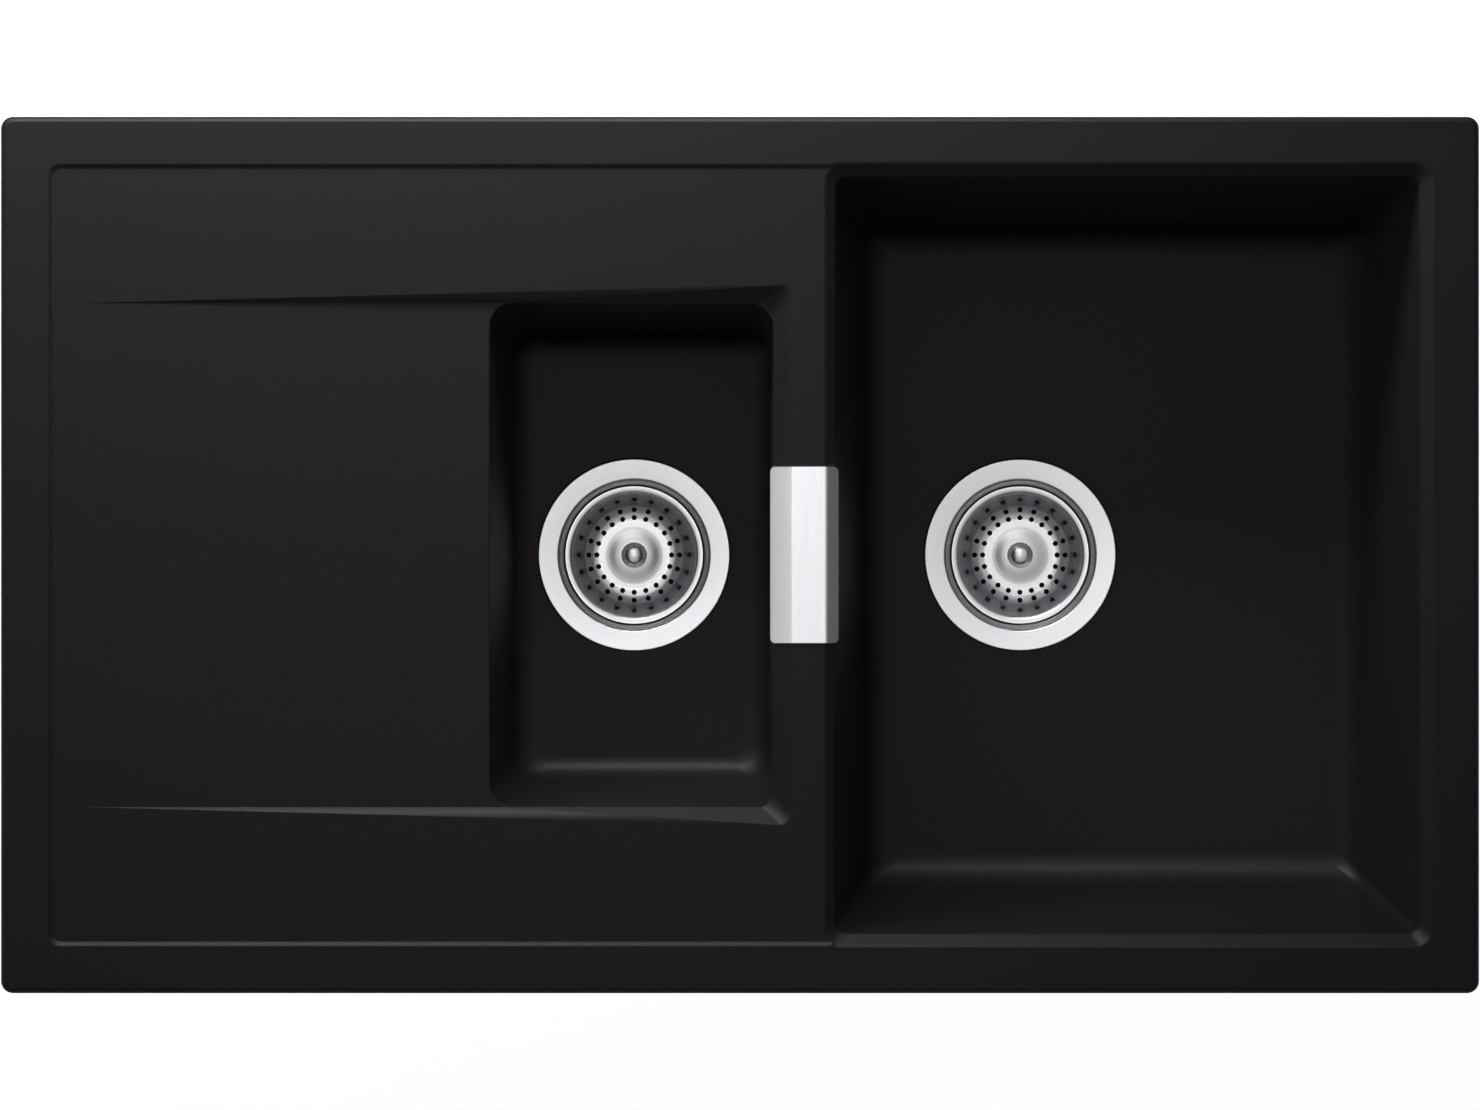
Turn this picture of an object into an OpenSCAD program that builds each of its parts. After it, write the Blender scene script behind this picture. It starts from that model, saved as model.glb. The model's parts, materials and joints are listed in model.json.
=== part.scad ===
// Composite kitchen sink for mounting under a worktop: drainer, small bowl and main bowl in one
// moulding, two basket strainer wastes, an overflow with a lift-off cover, and swivelling straps.
// The moulding is three solids, which meet face to face at the height of the rim's underside.
// The origin is the middle of the rim's top face. X runs along the sink, Y to its rear, Z up.

/* [Rim] */
// Length of the sink from left to right
rim_l = 860; // [840:5:900]
// Depth of the sink from front to rear
rim_d = 510; // [500:5:530]
// Thickness of the rim
rim_t = 12; // [11.5:0.5:16]
// Radius of the rim's four corners
corner_r = 7; // [5:0.5:10]
// Rounding of the rim's top edge
edge_round = 3.5; // [1:0.5:4.5]
// Width of the flat band round the rim
band_w = 27; // [26:0.5:30]

/* [Drainer] */
// Step down from the band to the drainer
step_drop = 2; // [1:0.25:3]
// Width of the step's slope
step_run = 3.5; // [2:0.5:5]
// Radius of the step's corners
step_r = 5; // [3.5:0.5:8]
// Distance of the sloping panel's upper end from the left edge
panel_in = 49; // [40:1:70]
// Fall of the sloping panel at the small bowl's right edge
panel_fall = 10.6; // [8:0.2:12]
// Thickness of the panel under its slope
panel_t = 10; // [8:0.5:12]

/* [Main bowl] */
// Length of the main bowl's mouth
main_l = 353.5; // [320:0.5:360]
// Depth of the main bowl
main_depth = 190; // [170:5:220]
// Width and drop of the bevel round its mouth
bevel = 8; // [6:0.5:9]
// Lean of its left wall, from bevel to fillet
main_lean_left = 15.5; // [8:0.5:20]
// Lean of its right wall
main_lean_right = 27; // [15:0.5:32]
// Lean of its front and rear walls
main_lean_ends = 24.5; // [15:0.5:30]
// Radius of its upright corners
main_r = 6; // [5:0.5:12]
// Fillet between its walls and floor
main_fillet = 21.5; // [14:0.5:26]

/* [Small bowl] */
// Width of the divider between the two bowls' mouths
divider_w = 30; // [29:0.5:36]
// Length of the small bowl's mouth
small_l = 165; // [150:1:175]
// Its size from front to rear
small_d = 293.4; // [270:0.2:310]
// Depth of the small bowl
small_depth = 135; // [120:5:160]
// Lean of its left wall
small_lean_left = 13; // [8:0.5:16]
// Lean of its right wall
small_lean_right = 2.5; // [2:0.5:6]
// Lean of its front and rear walls
small_lean_ends = 15.5; // [10:0.5:18]
// Radius of its upright corners
small_r = 14; // [10:0.5:18]
// Fillet between its walls and floor
small_fillet = 14; // [10:0.5:18]

/* [Shell] */
// Thickness of the bowls' walls
wall_t = 9; // [7:0.5:9.5]
// Thickness of the bowls' floors
floor_t = 11; // [9:0.5:14]

/* [Wastes] */
// Distance of the main waste from the main bowl's left edge
main_waste_in = 115; // [105:1:140]
// Distance of the small waste from the small bowl's right edge
small_waste_in = 81.5; // [78:0.5:86]
// Radius of the hole in each bowl's floor
waste_hole_r = 45; // [44:0.25:47]
// Radius of the strainer's flange
flange_r = 56.25; // [54:0.25:58]
// Thickness of the flange
flange_t = 1.2; // [0.8:0.1:2]
// Radius of the flange's inner edge
mouth_r = 44.3; // [43:0.1:45]
// Radius of the strainer pot inside, below its shoulder
pot_r = 40.9; // [40.7:0.1:42]
// Depth of the strainer pot
pot_depth = 40; // [37:0.5:44]
// Sheet thickness of the pot
pot_t = 0.9; // [0.6:0.1:1.1]
// Thickness of the rubber under the flange
flange_seal_t = 1.5; // [1:0.1:2]
// Thickness of the gasket under the bowl's floor
body_gasket_t = 2.5; // [1.5:0.1:4]
// Wall of the plastic waste body
body_wall = 2.8; // [2:0.1:3.5]
// Length of the screwed outlet under the waste body
spigot_l = 26; // [22:1:32]

/* [Basket] */
// Radius of the basket's rim
basket_r = 40.2; // [39:0.1:40.4]
// Width of the basket's flat rim
basket_lip = 3.3; // [2.5:0.1:4]
// Drop of the basket's rim below the flange
basket_sink = 7; // [6:0.5:8]
// Sheet thickness of the basket
basket_t = 0.7; // [0.5:0.1:1]
// Radius of the small holes
drain_hole_r = 1.45; // [1:0.05:1.6]
// Number of holes in each ring
drain_holes = 20; // [12:1:22]
// Radius of the knob
knob_r = 7.6; // [6:0.1:8.5]
// Radius of the stem
stem_r = 3; // [2.5:0.1:3.2]
// Radius of the rubber seal under the basket
seal_r = 28; // [27:0.25:29.5]
// Thickness of that seal
seal_t = 3.5; // [3:0.1:4.5]

/* [Centre bolt] */
// Radius of the bolt's shank
bolt_r = 4; // [3.8:0.1:4.5]
// Radius of the bolt's head
bolt_head_r = 6; // [5.5:0.1:6.2]
// Height of the bolt's head
bolt_head_h = 2; // [1.5:0.1:2.5]
// Length of the bolt's shank
bolt_l = 22; // [19:0.5:24]

/* [Overflow] */
// Length of the overflow cover
cover_l = 102.7; // [96:0.1:110]
// Sheet thickness of the cover
cover_t = 1; // [0.8:0.1:1.4]
// How far the cover hangs over each bowl's edge
cover_lip = 2; // [1:0.25:3]
// Radius of the cover's corners
cover_r = 3; // [1:0.25:5]
// Length of the slot through the divider
slot_l = 76; // [60:1:80]
// Depth of the slot below the rim
slot_depth = 28; // [24:1:32]
// Width of the cover's two legs
leg_w = 14; // [10:0.5:16]
// Length of those legs below the divider's face
leg_l = 18; // [12:0.5:22]
// Radius of the channel down through the divider
channel_r = 8; // [6.5:0.25:8.5]
// Drop of the moulded web below the rim's underside
web_drop = 50; // [40:1:56]
// Thickness of the overflow gasket
overflow_gasket_t = 2; // [1:0.1:3]
// Outer radius of the overflow hose
hose_r = 10; // [9.5:0.1:10.5]
// Outer radius of the pipe stubs that it is pushed onto
stub_r = 8; // [7.5:0.1:8.5]
// Depth of the waste body's side port below the main bowl's underside
port_drop = 24; // [21:0.5:26]
// Radius of the hose's bend at its middle line
hose_bend = 40; // [30:1:44]

/* [Pipes] */
// Outer radius of the waste pipes
pipe_r = 20; // [19:0.1:20.5]
// Wall of the waste pipes
pipe_wall = 2; // [1.5:0.1:2.5]
// Radius of the pipe threads
thread_r = 23.9; // [23.5:0.1:25]
// Depth of the cross pipe's middle line below the main bowl's floor
cross_drop = 115; // [112:1:130]
// Radius of the elbow's bend at its middle line
elbow_bend = 30; // [26:1:36]
// Length of the tee's outlet below the cross pipe's middle line
outlet_l = 48; // [46:1:70]

/* [Straps] */
// Distance of each strap's pivot from the rim's edge
pivot_in = 14; // [13.5:0.25:15]
// Distance of the outer pivots along the front and rear from the rim's ends
pivot_from_end = 130; // [110:5:190]
// Length of a strap
strap_l = 60; // [50:1:70]
// Width of a strap
strap_w = 20; // [16:0.5:22]
// Thickness of a strap
strap_t = 2; // [1.5:0.1:3]
// Radius of the hole for the worktop's screw
strap_hole_r = 2.75; // [2.25:0.25:3.5]
// Radius of the strap screws
screw_r = 2.5; // [2:0.1:3]
// Outer radius of the brass inserts in the rim
insert_r = 4; // [3.6:0.1:4.5]
// Length of those inserts
insert_l = 9; // [7:0.5:9.5]

/* [Hidden] */

$fn = 64;
// Steps round one corner of a lofted ring, and down one fillet
corner_steps = 4;
fillet_steps = 4;
// Overlap of a cut past the face that it opens
cut = 1;
// Gap between parts that slide or turn past each other
slide_gap = 0.3;
// Radial gap of a pin in its hole
pin_gap = 0.1;

granite = "#1f1e22";
steel = "#c9c9cd";
bright_steel = "#dddde0";
black_rubber = "#18181a";
white_plastic = "#dededa";
brass = "#b8964c";
zinc = "#a9adb0";

// Plan positions worked out from the rim
band_x = rim_l / 2 - band_w;
band_y = rim_d / 2 - band_w;
main_x1 = band_x - main_l;
small_x2 = main_x1 - divider_w;
small_x1 = small_x2 - small_l;
panel_x1 = panel_in - rim_l / 2;
panel_y = small_d / 2;
facet_x = small_x2 + panel_fall;
panel_z = -step_drop - panel_fall;
main_waste_x = main_x1 + main_waste_in;
small_waste_x = small_x2 - small_waste_in;

// Heights in each waste, measured from its bowl's floor
seat_drop = flange_t + flange_seal_t;
plate_z = -pot_depth;
plate_under = plate_z - pot_t;
shoulder_top = 3;
shoulder_low = 6.5;
shoulder_in = 0.3;
pot_low_r = 31;
pot_taper = 9;
body_top = -floor_t - body_gasket_t;
body_flange_w = 8;
body_flange_r = waste_hole_r + body_flange_w;
body_flange_t = 4;
body_inset = 1;
body_in_r = mouth_r - body_inset;
body_out_r = body_in_r + body_wall;
sump_h = 7;
body_floor_top = plate_under - sump_h;
body_floor_t = 4;
spigot_top = body_floor_top - body_floor_t;
spigot_end = spigot_top - spigot_l;
bore_r = pipe_r - pipe_wall;
boss_r = 9;
boss_l = 19;
spoke_w = 5;
bolt_insert_r = 6;
bolt_insert_l = 11;
drain_port_r = 6.5;
drain_port_pcd = 19;
drain_ports = 6;
port_z = -floor_t - port_drop;
port_l = 26;

// Screwed pipe joints, measured from the end of the male thread
union_washer_t = 1.5;
collar_t = 3;
collar_gap = 0.4;
collar_r = thread_r - collar_gap;
nut_wall = 5;
nut_r = thread_r + nut_wall;
nut_reach = 14;
nut_lip_t = 3;
nut_ribs = 12;
nut_rib_w = 4;
nut_rib_h = 2;
thread_l = 25;
cross_z = -main_depth - cross_drop;
tee_arm = 50;
elbow_arm = 45;

// Overflow heights and places
web_z = -rim_t - web_drop;
web_half = 34;
slot_over = 8;
flange_half_w = 10;
flange_half_l = 29;
housing_t = 4;
stub_l = 24;
stub_wall = 2;
hose_push = 17;
overflow_screw_r = 2;
overflow_screw_at = 22;
overflow_insert_r = 3;
overflow_insert_l = 10;
overflow_head_r = 3.8;
overflow_head_h = 2.4;
clip_t = 1.2;
clip_w = 8;
clip_lug = 6;

// Strap screws and washers
strap_z = -rim_t - slide_gap;
strap_washer_t = 1;
strap_washer_r = 6;
strap_head_r = 4.8;
strap_head_h = 3;
strap_reach = strap_l - strap_w;
end_pivot_x = rim_l / 2 - pivot_from_end;
side_pivot_x = rim_l / 2 - pivot_in;
end_pivot_y = rim_d / 2 - pivot_in;

// Lean of a bowl's outer wall at a height, from its foot's inset
function lean_at(lean, depth, fillet, top, z) = lean * (-z - top) / (depth - fillet - top);
small_out_x = small_x2 + wall_t - lean_at(small_lean_right, small_depth, small_fillet, rim_t, web_z);
main_in_x = main_x1 + bevel - step_drop;
main_out_x = main_in_x - wall_t + lean_at(main_lean_left, main_depth, main_fillet, bevel, web_z);
overflow_x = (small_out_x + main_out_x) / 2;

// Points of one rounded rectangle at height z, anticlockwise seen from above
function corner(cx, cy, r, a) =
    [for (i = [0:corner_steps])
        let (turn = a + 90 * i / corner_steps)
        [cx + r * cos(turn), cy + r * sin(turn)]];
function outline(x1, x2, y1, y2, r) = concat(
    corner(x2 - r, y2 - r, r, 0), corner(x1 + r, y2 - r, r, 90),
    corner(x1 + r, y1 + r, r, 180), corner(x2 - r, y1 + r, r, 270));
function ring(x1, x2, y, r, z) = [for (p = outline(x1, x2, -y, y, r)) [p[0], p[1], z]];

// Rings down a bowl's wall and round its fillet. grow and drop move them out to the outer shell
function bowl_rings(x1, x2, y, lean_l, lean_r, lean_e, r, depth, fillet, grow, drop) = concat(
    [ring(x1 + lean_l - grow, x2 - lean_r + grow, y - lean_e + grow, r + grow, fillet - depth)],
    [for (i = [1:fillet_steps])
        let (a = 90 * i / fillet_steps, inset = fillet * (1 - cos(a)))
        ring(x1 + lean_l - grow + inset, x2 - lean_r + grow - inset, y - lean_e + grow - inset,
            r + grow, fillet - depth - (fillet + drop) * sin(a))]);

// Closed solid through rings of equal count, from the top one down
module loft(rings) {
    n = len(rings[0]);
    last = (len(rings) - 1) * n;
    sides = [for (k = [0:len(rings) - 2], i = [0:n - 1], s = [0, 1])
        let (a = k * n + i, b = k * n + (i + 1) % n)
        s == 0 ? [a, b, b + n] : [a, b + n, a + n]];
    top = [[for (i = [n - 1:-1:0]) i]];
    bottom = [[for (i = [0:n - 1]) last + i]];
    polyhedron(points = [for (r = rings, p = r) p], faces = concat(top, sides, bottom), convexity = 6);
}

// Ring or disc of revolution between two heights
module tube(r_out, r_in, z1, z2) {
    translate([0, 0, z1])
    difference() {
        cylinder(r = r_out, h = z2 - z1);
        translate([0, 0, -cut]) cylinder(r = r_in, h = z2 - z1 + 2 * cut);
    }
}

module rod(r, z1, z2) {
    translate([0, 0, z1]) cylinder(r = r, h = z2 - z1);
}

// The rim slab with its rounded top edge
module rim_slab() {
    x = rim_l / 2;
    y = rim_d / 2;
    rounding = [for (i = [fillet_steps:-1:0])
        let (a = 90 * i / fillet_steps, inset = edge_round * (1 - cos(a)))
        ring(inset - x, x - inset, y - inset, corner_r - inset, edge_round * (sin(a) - 1))];
    loft(concat(rounding, [ring(-x, x, y, corner_r, -rim_t)]));
}

// Extra thickness that follows the sloping panel, below the rim's underside
module panel_underside() {
    low = panel_z - panel_t;
    x2 = facet_x + cut;
    rotate([90, 0, 0])
    linear_extrude(height = 2 * (panel_y + panel_fall + step_drop), center = true)
    intersection() {
        polygon([[panel_x1, 0], [x2, 0], [x2, low], [small_x2, low], [panel_x1, -step_drop - panel_t]]);
        translate([panel_x1, low - cut]) square([x2 - panel_x1, cut - rim_t - low]);
    }
}

module main_shell() {
    x1 = main_in_x;
    x2 = band_x - bevel;
    y = band_y - bevel;
    loft(concat([ring(x1 - wall_t, x2 + wall_t, y + wall_t, main_r + wall_t, -rim_t)],
        bowl_rings(x1, x2, y, main_lean_left, main_lean_right, main_lean_ends, main_r,
            main_depth, main_fillet, wall_t, floor_t)));
}

module small_shell() {
    loft(concat([ring(small_x1 - wall_t, small_x2 + wall_t, panel_y + wall_t, small_r + wall_t, -rim_t)],
        bowl_rings(small_x1, small_x2, panel_y, small_lean_left, small_lean_right, small_lean_ends, small_r,
            small_depth, small_fillet, wall_t, floor_t)));
}

module main_hollow() {
    x1 = main_in_x;
    x2 = band_x - bevel;
    y = band_y - bevel;
    wide = bevel + cut;
    mouth = ring(x1 - wide, x2 + wide, y + wide, main_r + wide / 2, cut);
    loft(concat([mouth, ring(x1, x2, y, main_r, -bevel)],
        bowl_rings(x1, x2, y, main_lean_left, main_lean_right, main_lean_ends, main_r,
            main_depth, main_fillet, 0, 0)));
}

module small_hollow() {
    mouth = ring(small_x1, small_x2, panel_y, small_r, cut);
    loft(concat([mouth, ring(small_x1, small_x2, panel_y, small_r, panel_z)],
        bowl_rings(small_x1, small_x2, panel_y, small_lean_left, small_lean_right, small_lean_ends, small_r,
            small_depth, small_fillet, 0, 0)));
}

// The drainer's shallow step, which runs into the main bowl's mouth
module drainer_step() {
    slope = step_run / step_drop;
    x2 = main_x1 + bevel;
    loft([ring(-band_x - slope * cut, x2, band_y + slope * cut, step_r + step_run / 2, cut),
        ring(step_run - band_x, x2, band_y - step_run, step_r, -step_drop)]);
}

// The sloping panel: a wedge with bevelled sides that widen towards the small bowl
module sloping_panel() {
    x1 = panel_x1;
    x2 = small_x2;
    y = panel_y;
    wide = panel_y + panel_fall;
    top = cut - step_drop;
    low = -step_drop;
    polyhedron(points = [
        [facet_x, wide, top], [x1, y, top], [x1, -y, top], [facet_x, -wide, top],
        [facet_x, wide, low], [x1, y, low], [x1, -y, low], [facet_x, -wide, low],
        [x2, y, panel_z], [x2, -y, panel_z]
    ], faces = [
        [3, 2, 1, 0], [0, 1, 5, 4], [1, 2, 6, 5], [2, 3, 7, 6], [3, 0, 4, 7],
        [5, 6, 9, 8], [4, 5, 8], [6, 7, 9], [7, 4, 8, 9]
    ], convexity = 4);
}

// The overflow's slot through the divider and the channel down from it
module overflow_hollow() {
    x1 = small_x2 - slot_over;
    x2 = main_in_x + slot_over;
    translate([x1, -slot_l / 2, -slot_depth]) cube([x2 - x1, slot_l, slot_depth + cut]);
    translate([overflow_x, 0, 0]) {
        rod(channel_r, web_z - cut, -slot_depth + cut);
        for (s = [-1, 1])
            translate([0, s * overflow_screw_at, 0])
            rod(overflow_insert_r, web_z - cut, web_z + overflow_insert_l);
    }
}

module overflow_web() {
    x1 = small_x2 + wall_t / 2;
    x2 = main_in_x - wall_t / 4;
    translate([x1, -web_half, web_z]) cube([x2 - x1, 2 * web_half, web_drop]);
}

module at_main_waste() {
    translate([main_waste_x, 0, -main_depth]) children();
}

module at_small_waste() {
    translate([small_waste_x, 0, -small_depth]) children();
}

// Hole and flange seat in a bowl's floor
module waste_seat() {
    rod(waste_hole_r, -floor_t - cut, cut);
    rod(flange_r + slide_gap, -seat_drop, cut);
}

// Pivot of one strap, turned so that the strap lies along X
module at_pivot(x, y, turn = 0) {
    translate([x, y, 0]) rotate([0, 0, turn]) children();
}

module at_all_pivots() {
    for (x = [-end_pivot_x, 0, end_pivot_x], s = [-1, 1]) at_pivot(x, s * end_pivot_y) children();
    for (s = [-1, 1]) at_pivot(s * side_pivot_x, 0, 90) children();
}

// The moulding down to the rim's underside
module rim_and_drainer() {
    color(granite)
    difference() {
        rim_slab();
        drainer_step();
        sloping_panel();
        main_hollow();
        small_hollow();
        overflow_hollow();
        at_all_pivots() rod(insert_r, -rim_t - cut, insert_l - rim_t);
    }
}

// The main bowl below the rim
module main_bowl() {
    color(granite)
    difference() {
        main_shell();
        main_hollow();
        overflow_hollow();
        at_main_waste() waste_seat();
    }
}

// The small bowl below the rim, with the web that carries the overflow and the panel's underside
module small_bowl() {
    color(granite)
    difference() {
        union() {
            panel_underside();
            small_shell();
            overflow_web();
        }
        main_shell();
        sloping_panel();
        small_hollow();
        overflow_hollow();
        at_small_waste() waste_seat();
    }
}

module rim_inserts() {
    color(brass) at_all_pivots() tube(insert_r, screw_r, -rim_t, insert_l - rim_t);
}

// Folded sheet over the divider. Its flaps follow the panel's end facet and the main bowl's bevel
module cover_sheet() {
    lift = slide_gap * sqrt(2);
    miter = cover_t * tan(22.5);
    skew = cover_t * sin(45);
    in1 = facet_x - lift;
    in2 = main_x1 + lift;
    out1 = in1 - miter;
    out2 = in2 + miter;
    low = -step_drop;
    high = low + cover_t;
    end1 = small_x2 - cover_lip;
    end2 = main_in_x + cover_lip;
    polygon([[in1, low], [end1 + skew, low + end1 + skew - in1], [end1, high + end1 - out1], [out1, high],
        [out2, high], [end2, high + out2 - end2], [end2 - skew, low + in2 - end2 + skew], [in2, low]]);
}

module overflow_cover() {
    x1 = small_x2 - cover_lip;
    x2 = main_in_x + cover_lip;
    leg_y = slot_l / 2 - slide_gap - cover_t / 2;
    color(bright_steel)
    union() {
        intersection() {
            rotate([90, 0, 0]) linear_extrude(height = cover_l, center = true) cover_sheet();
            translate([0, 0, -slot_depth])
            linear_extrude(height = 2 * slot_depth)
            polygon(outline(x1, x2, -cover_l / 2, cover_l / 2, cover_r));
        }
        for (s = [-1, 1])
            translate([overflow_x - leg_w / 2, s * leg_y - cover_t / 2, -step_drop - leg_l])
            cube([leg_w, cover_t, leg_l]);
    }
}

module at_overflow() {
    translate([overflow_x, 0, web_z]) children();
}

module overflow_plate(t) {
    translate([-flange_half_w, -flange_half_l, 0]) cube([2 * flange_half_w, 2 * flange_half_l, t]);
}

module at_overflow_screws() {
    at_overflow() for (s = [-1, 1]) translate([0, s * overflow_screw_at, 0]) children();
}

module overflow_inserts() {
    color(brass) at_overflow_screws() tube(overflow_insert_r, overflow_screw_r, 0, overflow_insert_l);
}

module overflow_gasket() {
    color(black_rubber)
    difference() {
        at_overflow() translate([0, 0, -overflow_gasket_t]) overflow_plate(overflow_gasket_t);
        at_overflow() rod(channel_r, -overflow_gasket_t - cut, cut);
        at_overflow_screws() rod(overflow_screw_r + pin_gap, -overflow_gasket_t - cut, cut);
    }
}

module overflow_housing() {
    top = -overflow_gasket_t;
    under = top - housing_t;
    color(white_plastic)
    difference() {
        at_overflow() union() {
            translate([0, 0, under]) overflow_plate(housing_t);
            rod(stub_r, under - stub_l, under);
        }
        at_overflow() rod(stub_r - stub_wall, under - stub_l - cut, top + cut);
        at_overflow_screws() rod(overflow_screw_r + pin_gap, under - cut, top + cut);
    }
}

module overflow_screws() {
    under = -overflow_gasket_t - housing_t;
    color(steel)
    at_overflow_screws() union() {
        rod(overflow_screw_r, under, overflow_insert_l - cut);
        rod(overflow_head_r, under - overflow_head_h, under);
    }
}

// Middle line of the hose: down from the housing, round one bend, along to the waste body
hose_top = web_z - overflow_gasket_t - housing_t - stub_l + hose_push;
hose_z = port_z - main_depth;
hose_end = main_waste_x - body_out_r - port_l + hose_push;

module hose_path(r) {
    translate([overflow_x, 0, hose_z + hose_bend]) cylinder(r = r, h = hose_top - hose_z - hose_bend);
    translate([overflow_x + hose_bend, 0, hose_z + hose_bend])
    rotate([90, 0, 0]) rotate([0, 0, 180]) rotate_extrude(angle = 90) translate([hose_bend, 0]) circle(r = r);
    translate([overflow_x + hose_bend, 0, hose_z])
    rotate([0, 90, 0]) cylinder(r = r, h = hose_end - overflow_x - hose_bend);
}

module overflow_hose() {
    color(black_rubber)
    difference() {
        hose_path(hose_r);
        hose_path(stub_r);
    }
}

module hose_clip() {
    difference() {
        union() {
            cylinder(r = hose_r + clip_t, h = clip_w);
            translate([-clip_lug / 2, 0, 0]) cube([clip_lug, hose_r + clip_t + clip_lug, clip_w]);
        }
        translate([0, 0, -cut]) cylinder(r = hose_r, h = clip_w + 2 * cut);
    }
}

module hose_clips() {
    color(zinc) {
        translate([overflow_x, 0, hose_top - hose_push / 2 - clip_w / 2]) hose_clip();
        translate([hose_end - hose_push / 2 - clip_w / 2, 0, hose_z]) rotate([0, 90, 0]) hose_clip();
    }
}

// A flat strap with round ends, pivoted at one end and drilled for the worktop's screw at the other
module strap() {
    color(zinc)
    translate([0, 0, strap_z - strap_t])
    difference() {
        union() {
            cylinder(r = strap_w / 2, h = strap_t);
            translate([strap_reach, 0, 0]) cylinder(r = strap_w / 2, h = strap_t);
            translate([0, -strap_w / 2, 0]) cube([strap_reach, strap_w, strap_t]);
        }
        translate([0, 0, -cut]) cylinder(r = screw_r + pin_gap, h = strap_t + 2 * cut);
        translate([strap_reach, 0, -cut]) cylinder(r = strap_hole_r, h = strap_t + 2 * cut);
    }
}

module strap_front_left() at_pivot(-end_pivot_x, -end_pivot_y) strap();
module strap_front_middle() at_pivot(0, -end_pivot_y) strap();
module strap_front_right() at_pivot(end_pivot_x, -end_pivot_y) strap();
module strap_rear_left() at_pivot(-end_pivot_x, end_pivot_y) strap();
module strap_rear_middle() at_pivot(0, end_pivot_y) strap();
module strap_rear_right() at_pivot(end_pivot_x, end_pivot_y) strap();
module strap_left() at_pivot(-side_pivot_x, 0, 90) strap();
module strap_right() at_pivot(side_pivot_x, 0, 90) strap();

strap_under = strap_z - strap_t - slide_gap;

module strap_washers() {
    color(zinc) at_all_pivots() tube(strap_washer_r, screw_r, strap_under - strap_washer_t, strap_under);
}

module strap_screws() {
    head = strap_under - strap_washer_t;
    color(steel)
    at_all_pivots() union() {
        rod(screw_r, head, insert_l - rim_t - cut);
        difference() {
            rod(strap_head_r, head - strap_head_h, head);
            translate([0, 0, head - strap_head_h - cut])
            cylinder(r = screw_r, h = cut + strap_head_h / 2, $fn = 6);
        }
    }
}

module flange_seal() {
    color(black_rubber) tube(flange_r - slide_gap, waste_hole_r + slide_gap, -seat_drop, -flange_t);
}

// Inside profile of the pot, from its mouth to the plate at its bottom
function pot_profile(grow) = [
    [mouth_r - shoulder_in + grow, -shoulder_top], [pot_r + grow, -shoulder_low],
    [pot_r + grow, plate_z + pot_taper - grow / 2], [pot_low_r + grow, plate_z - grow]];

module strainer_pot() {
    color(steel)
    difference() {
        rotate_extrude() polygon(concat([[0, plate_under], [0, plate_z], [pot_low_r, plate_z]],
            [for (i = [2:-1:0]) pot_profile(0)[i]],
            [[mouth_r, 0], [flange_r - flange_t / 2, 0], [flange_r, -flange_t], [mouth_r + pot_t, -flange_t]],
            pot_profile(pot_t)));
        rod(bolt_r + pin_gap, plate_under - cut, plate_z + cut);
        for (i = [0:drain_ports - 1])
            rotate([0, 0, 360 * i / drain_ports]) translate([drain_port_pcd, 0, 0])
            rod(drain_port_r, plate_under - cut, plate_z + cut);
    }
}

// Length of the basket stem's tip below the pot's plate
stem_tip = 4;

// The hollow bolt that clamps the pot to the waste body, and takes the tip of the basket's stem
module centre_bolt() {
    color(steel)
    difference() {
        union() {
            rod(bolt_head_r, plate_z, plate_z + bolt_head_h);
            rod(bolt_r, plate_z - bolt_l, plate_z);
        }
        rod(stem_r + pin_gap, plate_z - stem_tip - slide_gap, plate_z + bolt_head_h + cut);
    }
}

module bolt_insert() {
    color(brass) tube(bolt_insert_r, bolt_r, plate_under - boss_l, plate_under - boss_l + bolt_insert_l);
}

module body_gasket() {
    color(black_rubber) tube(body_flange_r, waste_hole_r + slide_gap, body_top, -floor_t);
}

// The plastic cup under the bowl, with a boss on spokes for the bolt and a screwed outlet
module waste_body_shape() {
    difference() {
        union() {
            rod(body_flange_r, body_top - body_flange_t, body_top);
            rod(body_out_r, spigot_top, body_top);
            rod(thread_r, spigot_end, spigot_top);
        }
        rod(body_in_r, body_floor_top, body_top + cut);
        rod(bore_r, spigot_end - cut, body_floor_top + cut);
    }
    difference() {
        union() {
            rod(boss_r, plate_under - boss_l, plate_under);
            for (i = [0:2])
                rotate([0, 0, 60 * i])
                translate([-bore_r - body_wall / 2, -spoke_w / 2, plate_under - boss_l])
                cube([2 * bore_r + body_wall, spoke_w, boss_l / 2]);
        }
        rod(bolt_insert_r, plate_under - boss_l - cut, plate_under - boss_l + bolt_insert_l);
        rod(bolt_r + pin_gap, plate_under - boss_l, plate_under + cut);
    }
}

// Side port of the main waste body, where the overflow comes in
module overflow_port(r, start) {
    translate([start, 0, port_z]) rotate([0, -90, 0]) cylinder(r = r, h = body_out_r + port_l + start);
}

module plain_waste_body() {
    color(white_plastic) waste_body_shape();
}

module ported_waste_body() {
    color(white_plastic)
    difference() {
        union() {
            waste_body_shape();
            overflow_port(stub_r, -body_in_r - body_wall / 2);
        }
        overflow_port(stub_r - stub_wall, -body_in_r + body_wall);
        translate([-body_out_r - port_l, 0, port_z]) rotate([0, -90, 0]) cylinder(r = stub_r, h = cut);
    }
}

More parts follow.
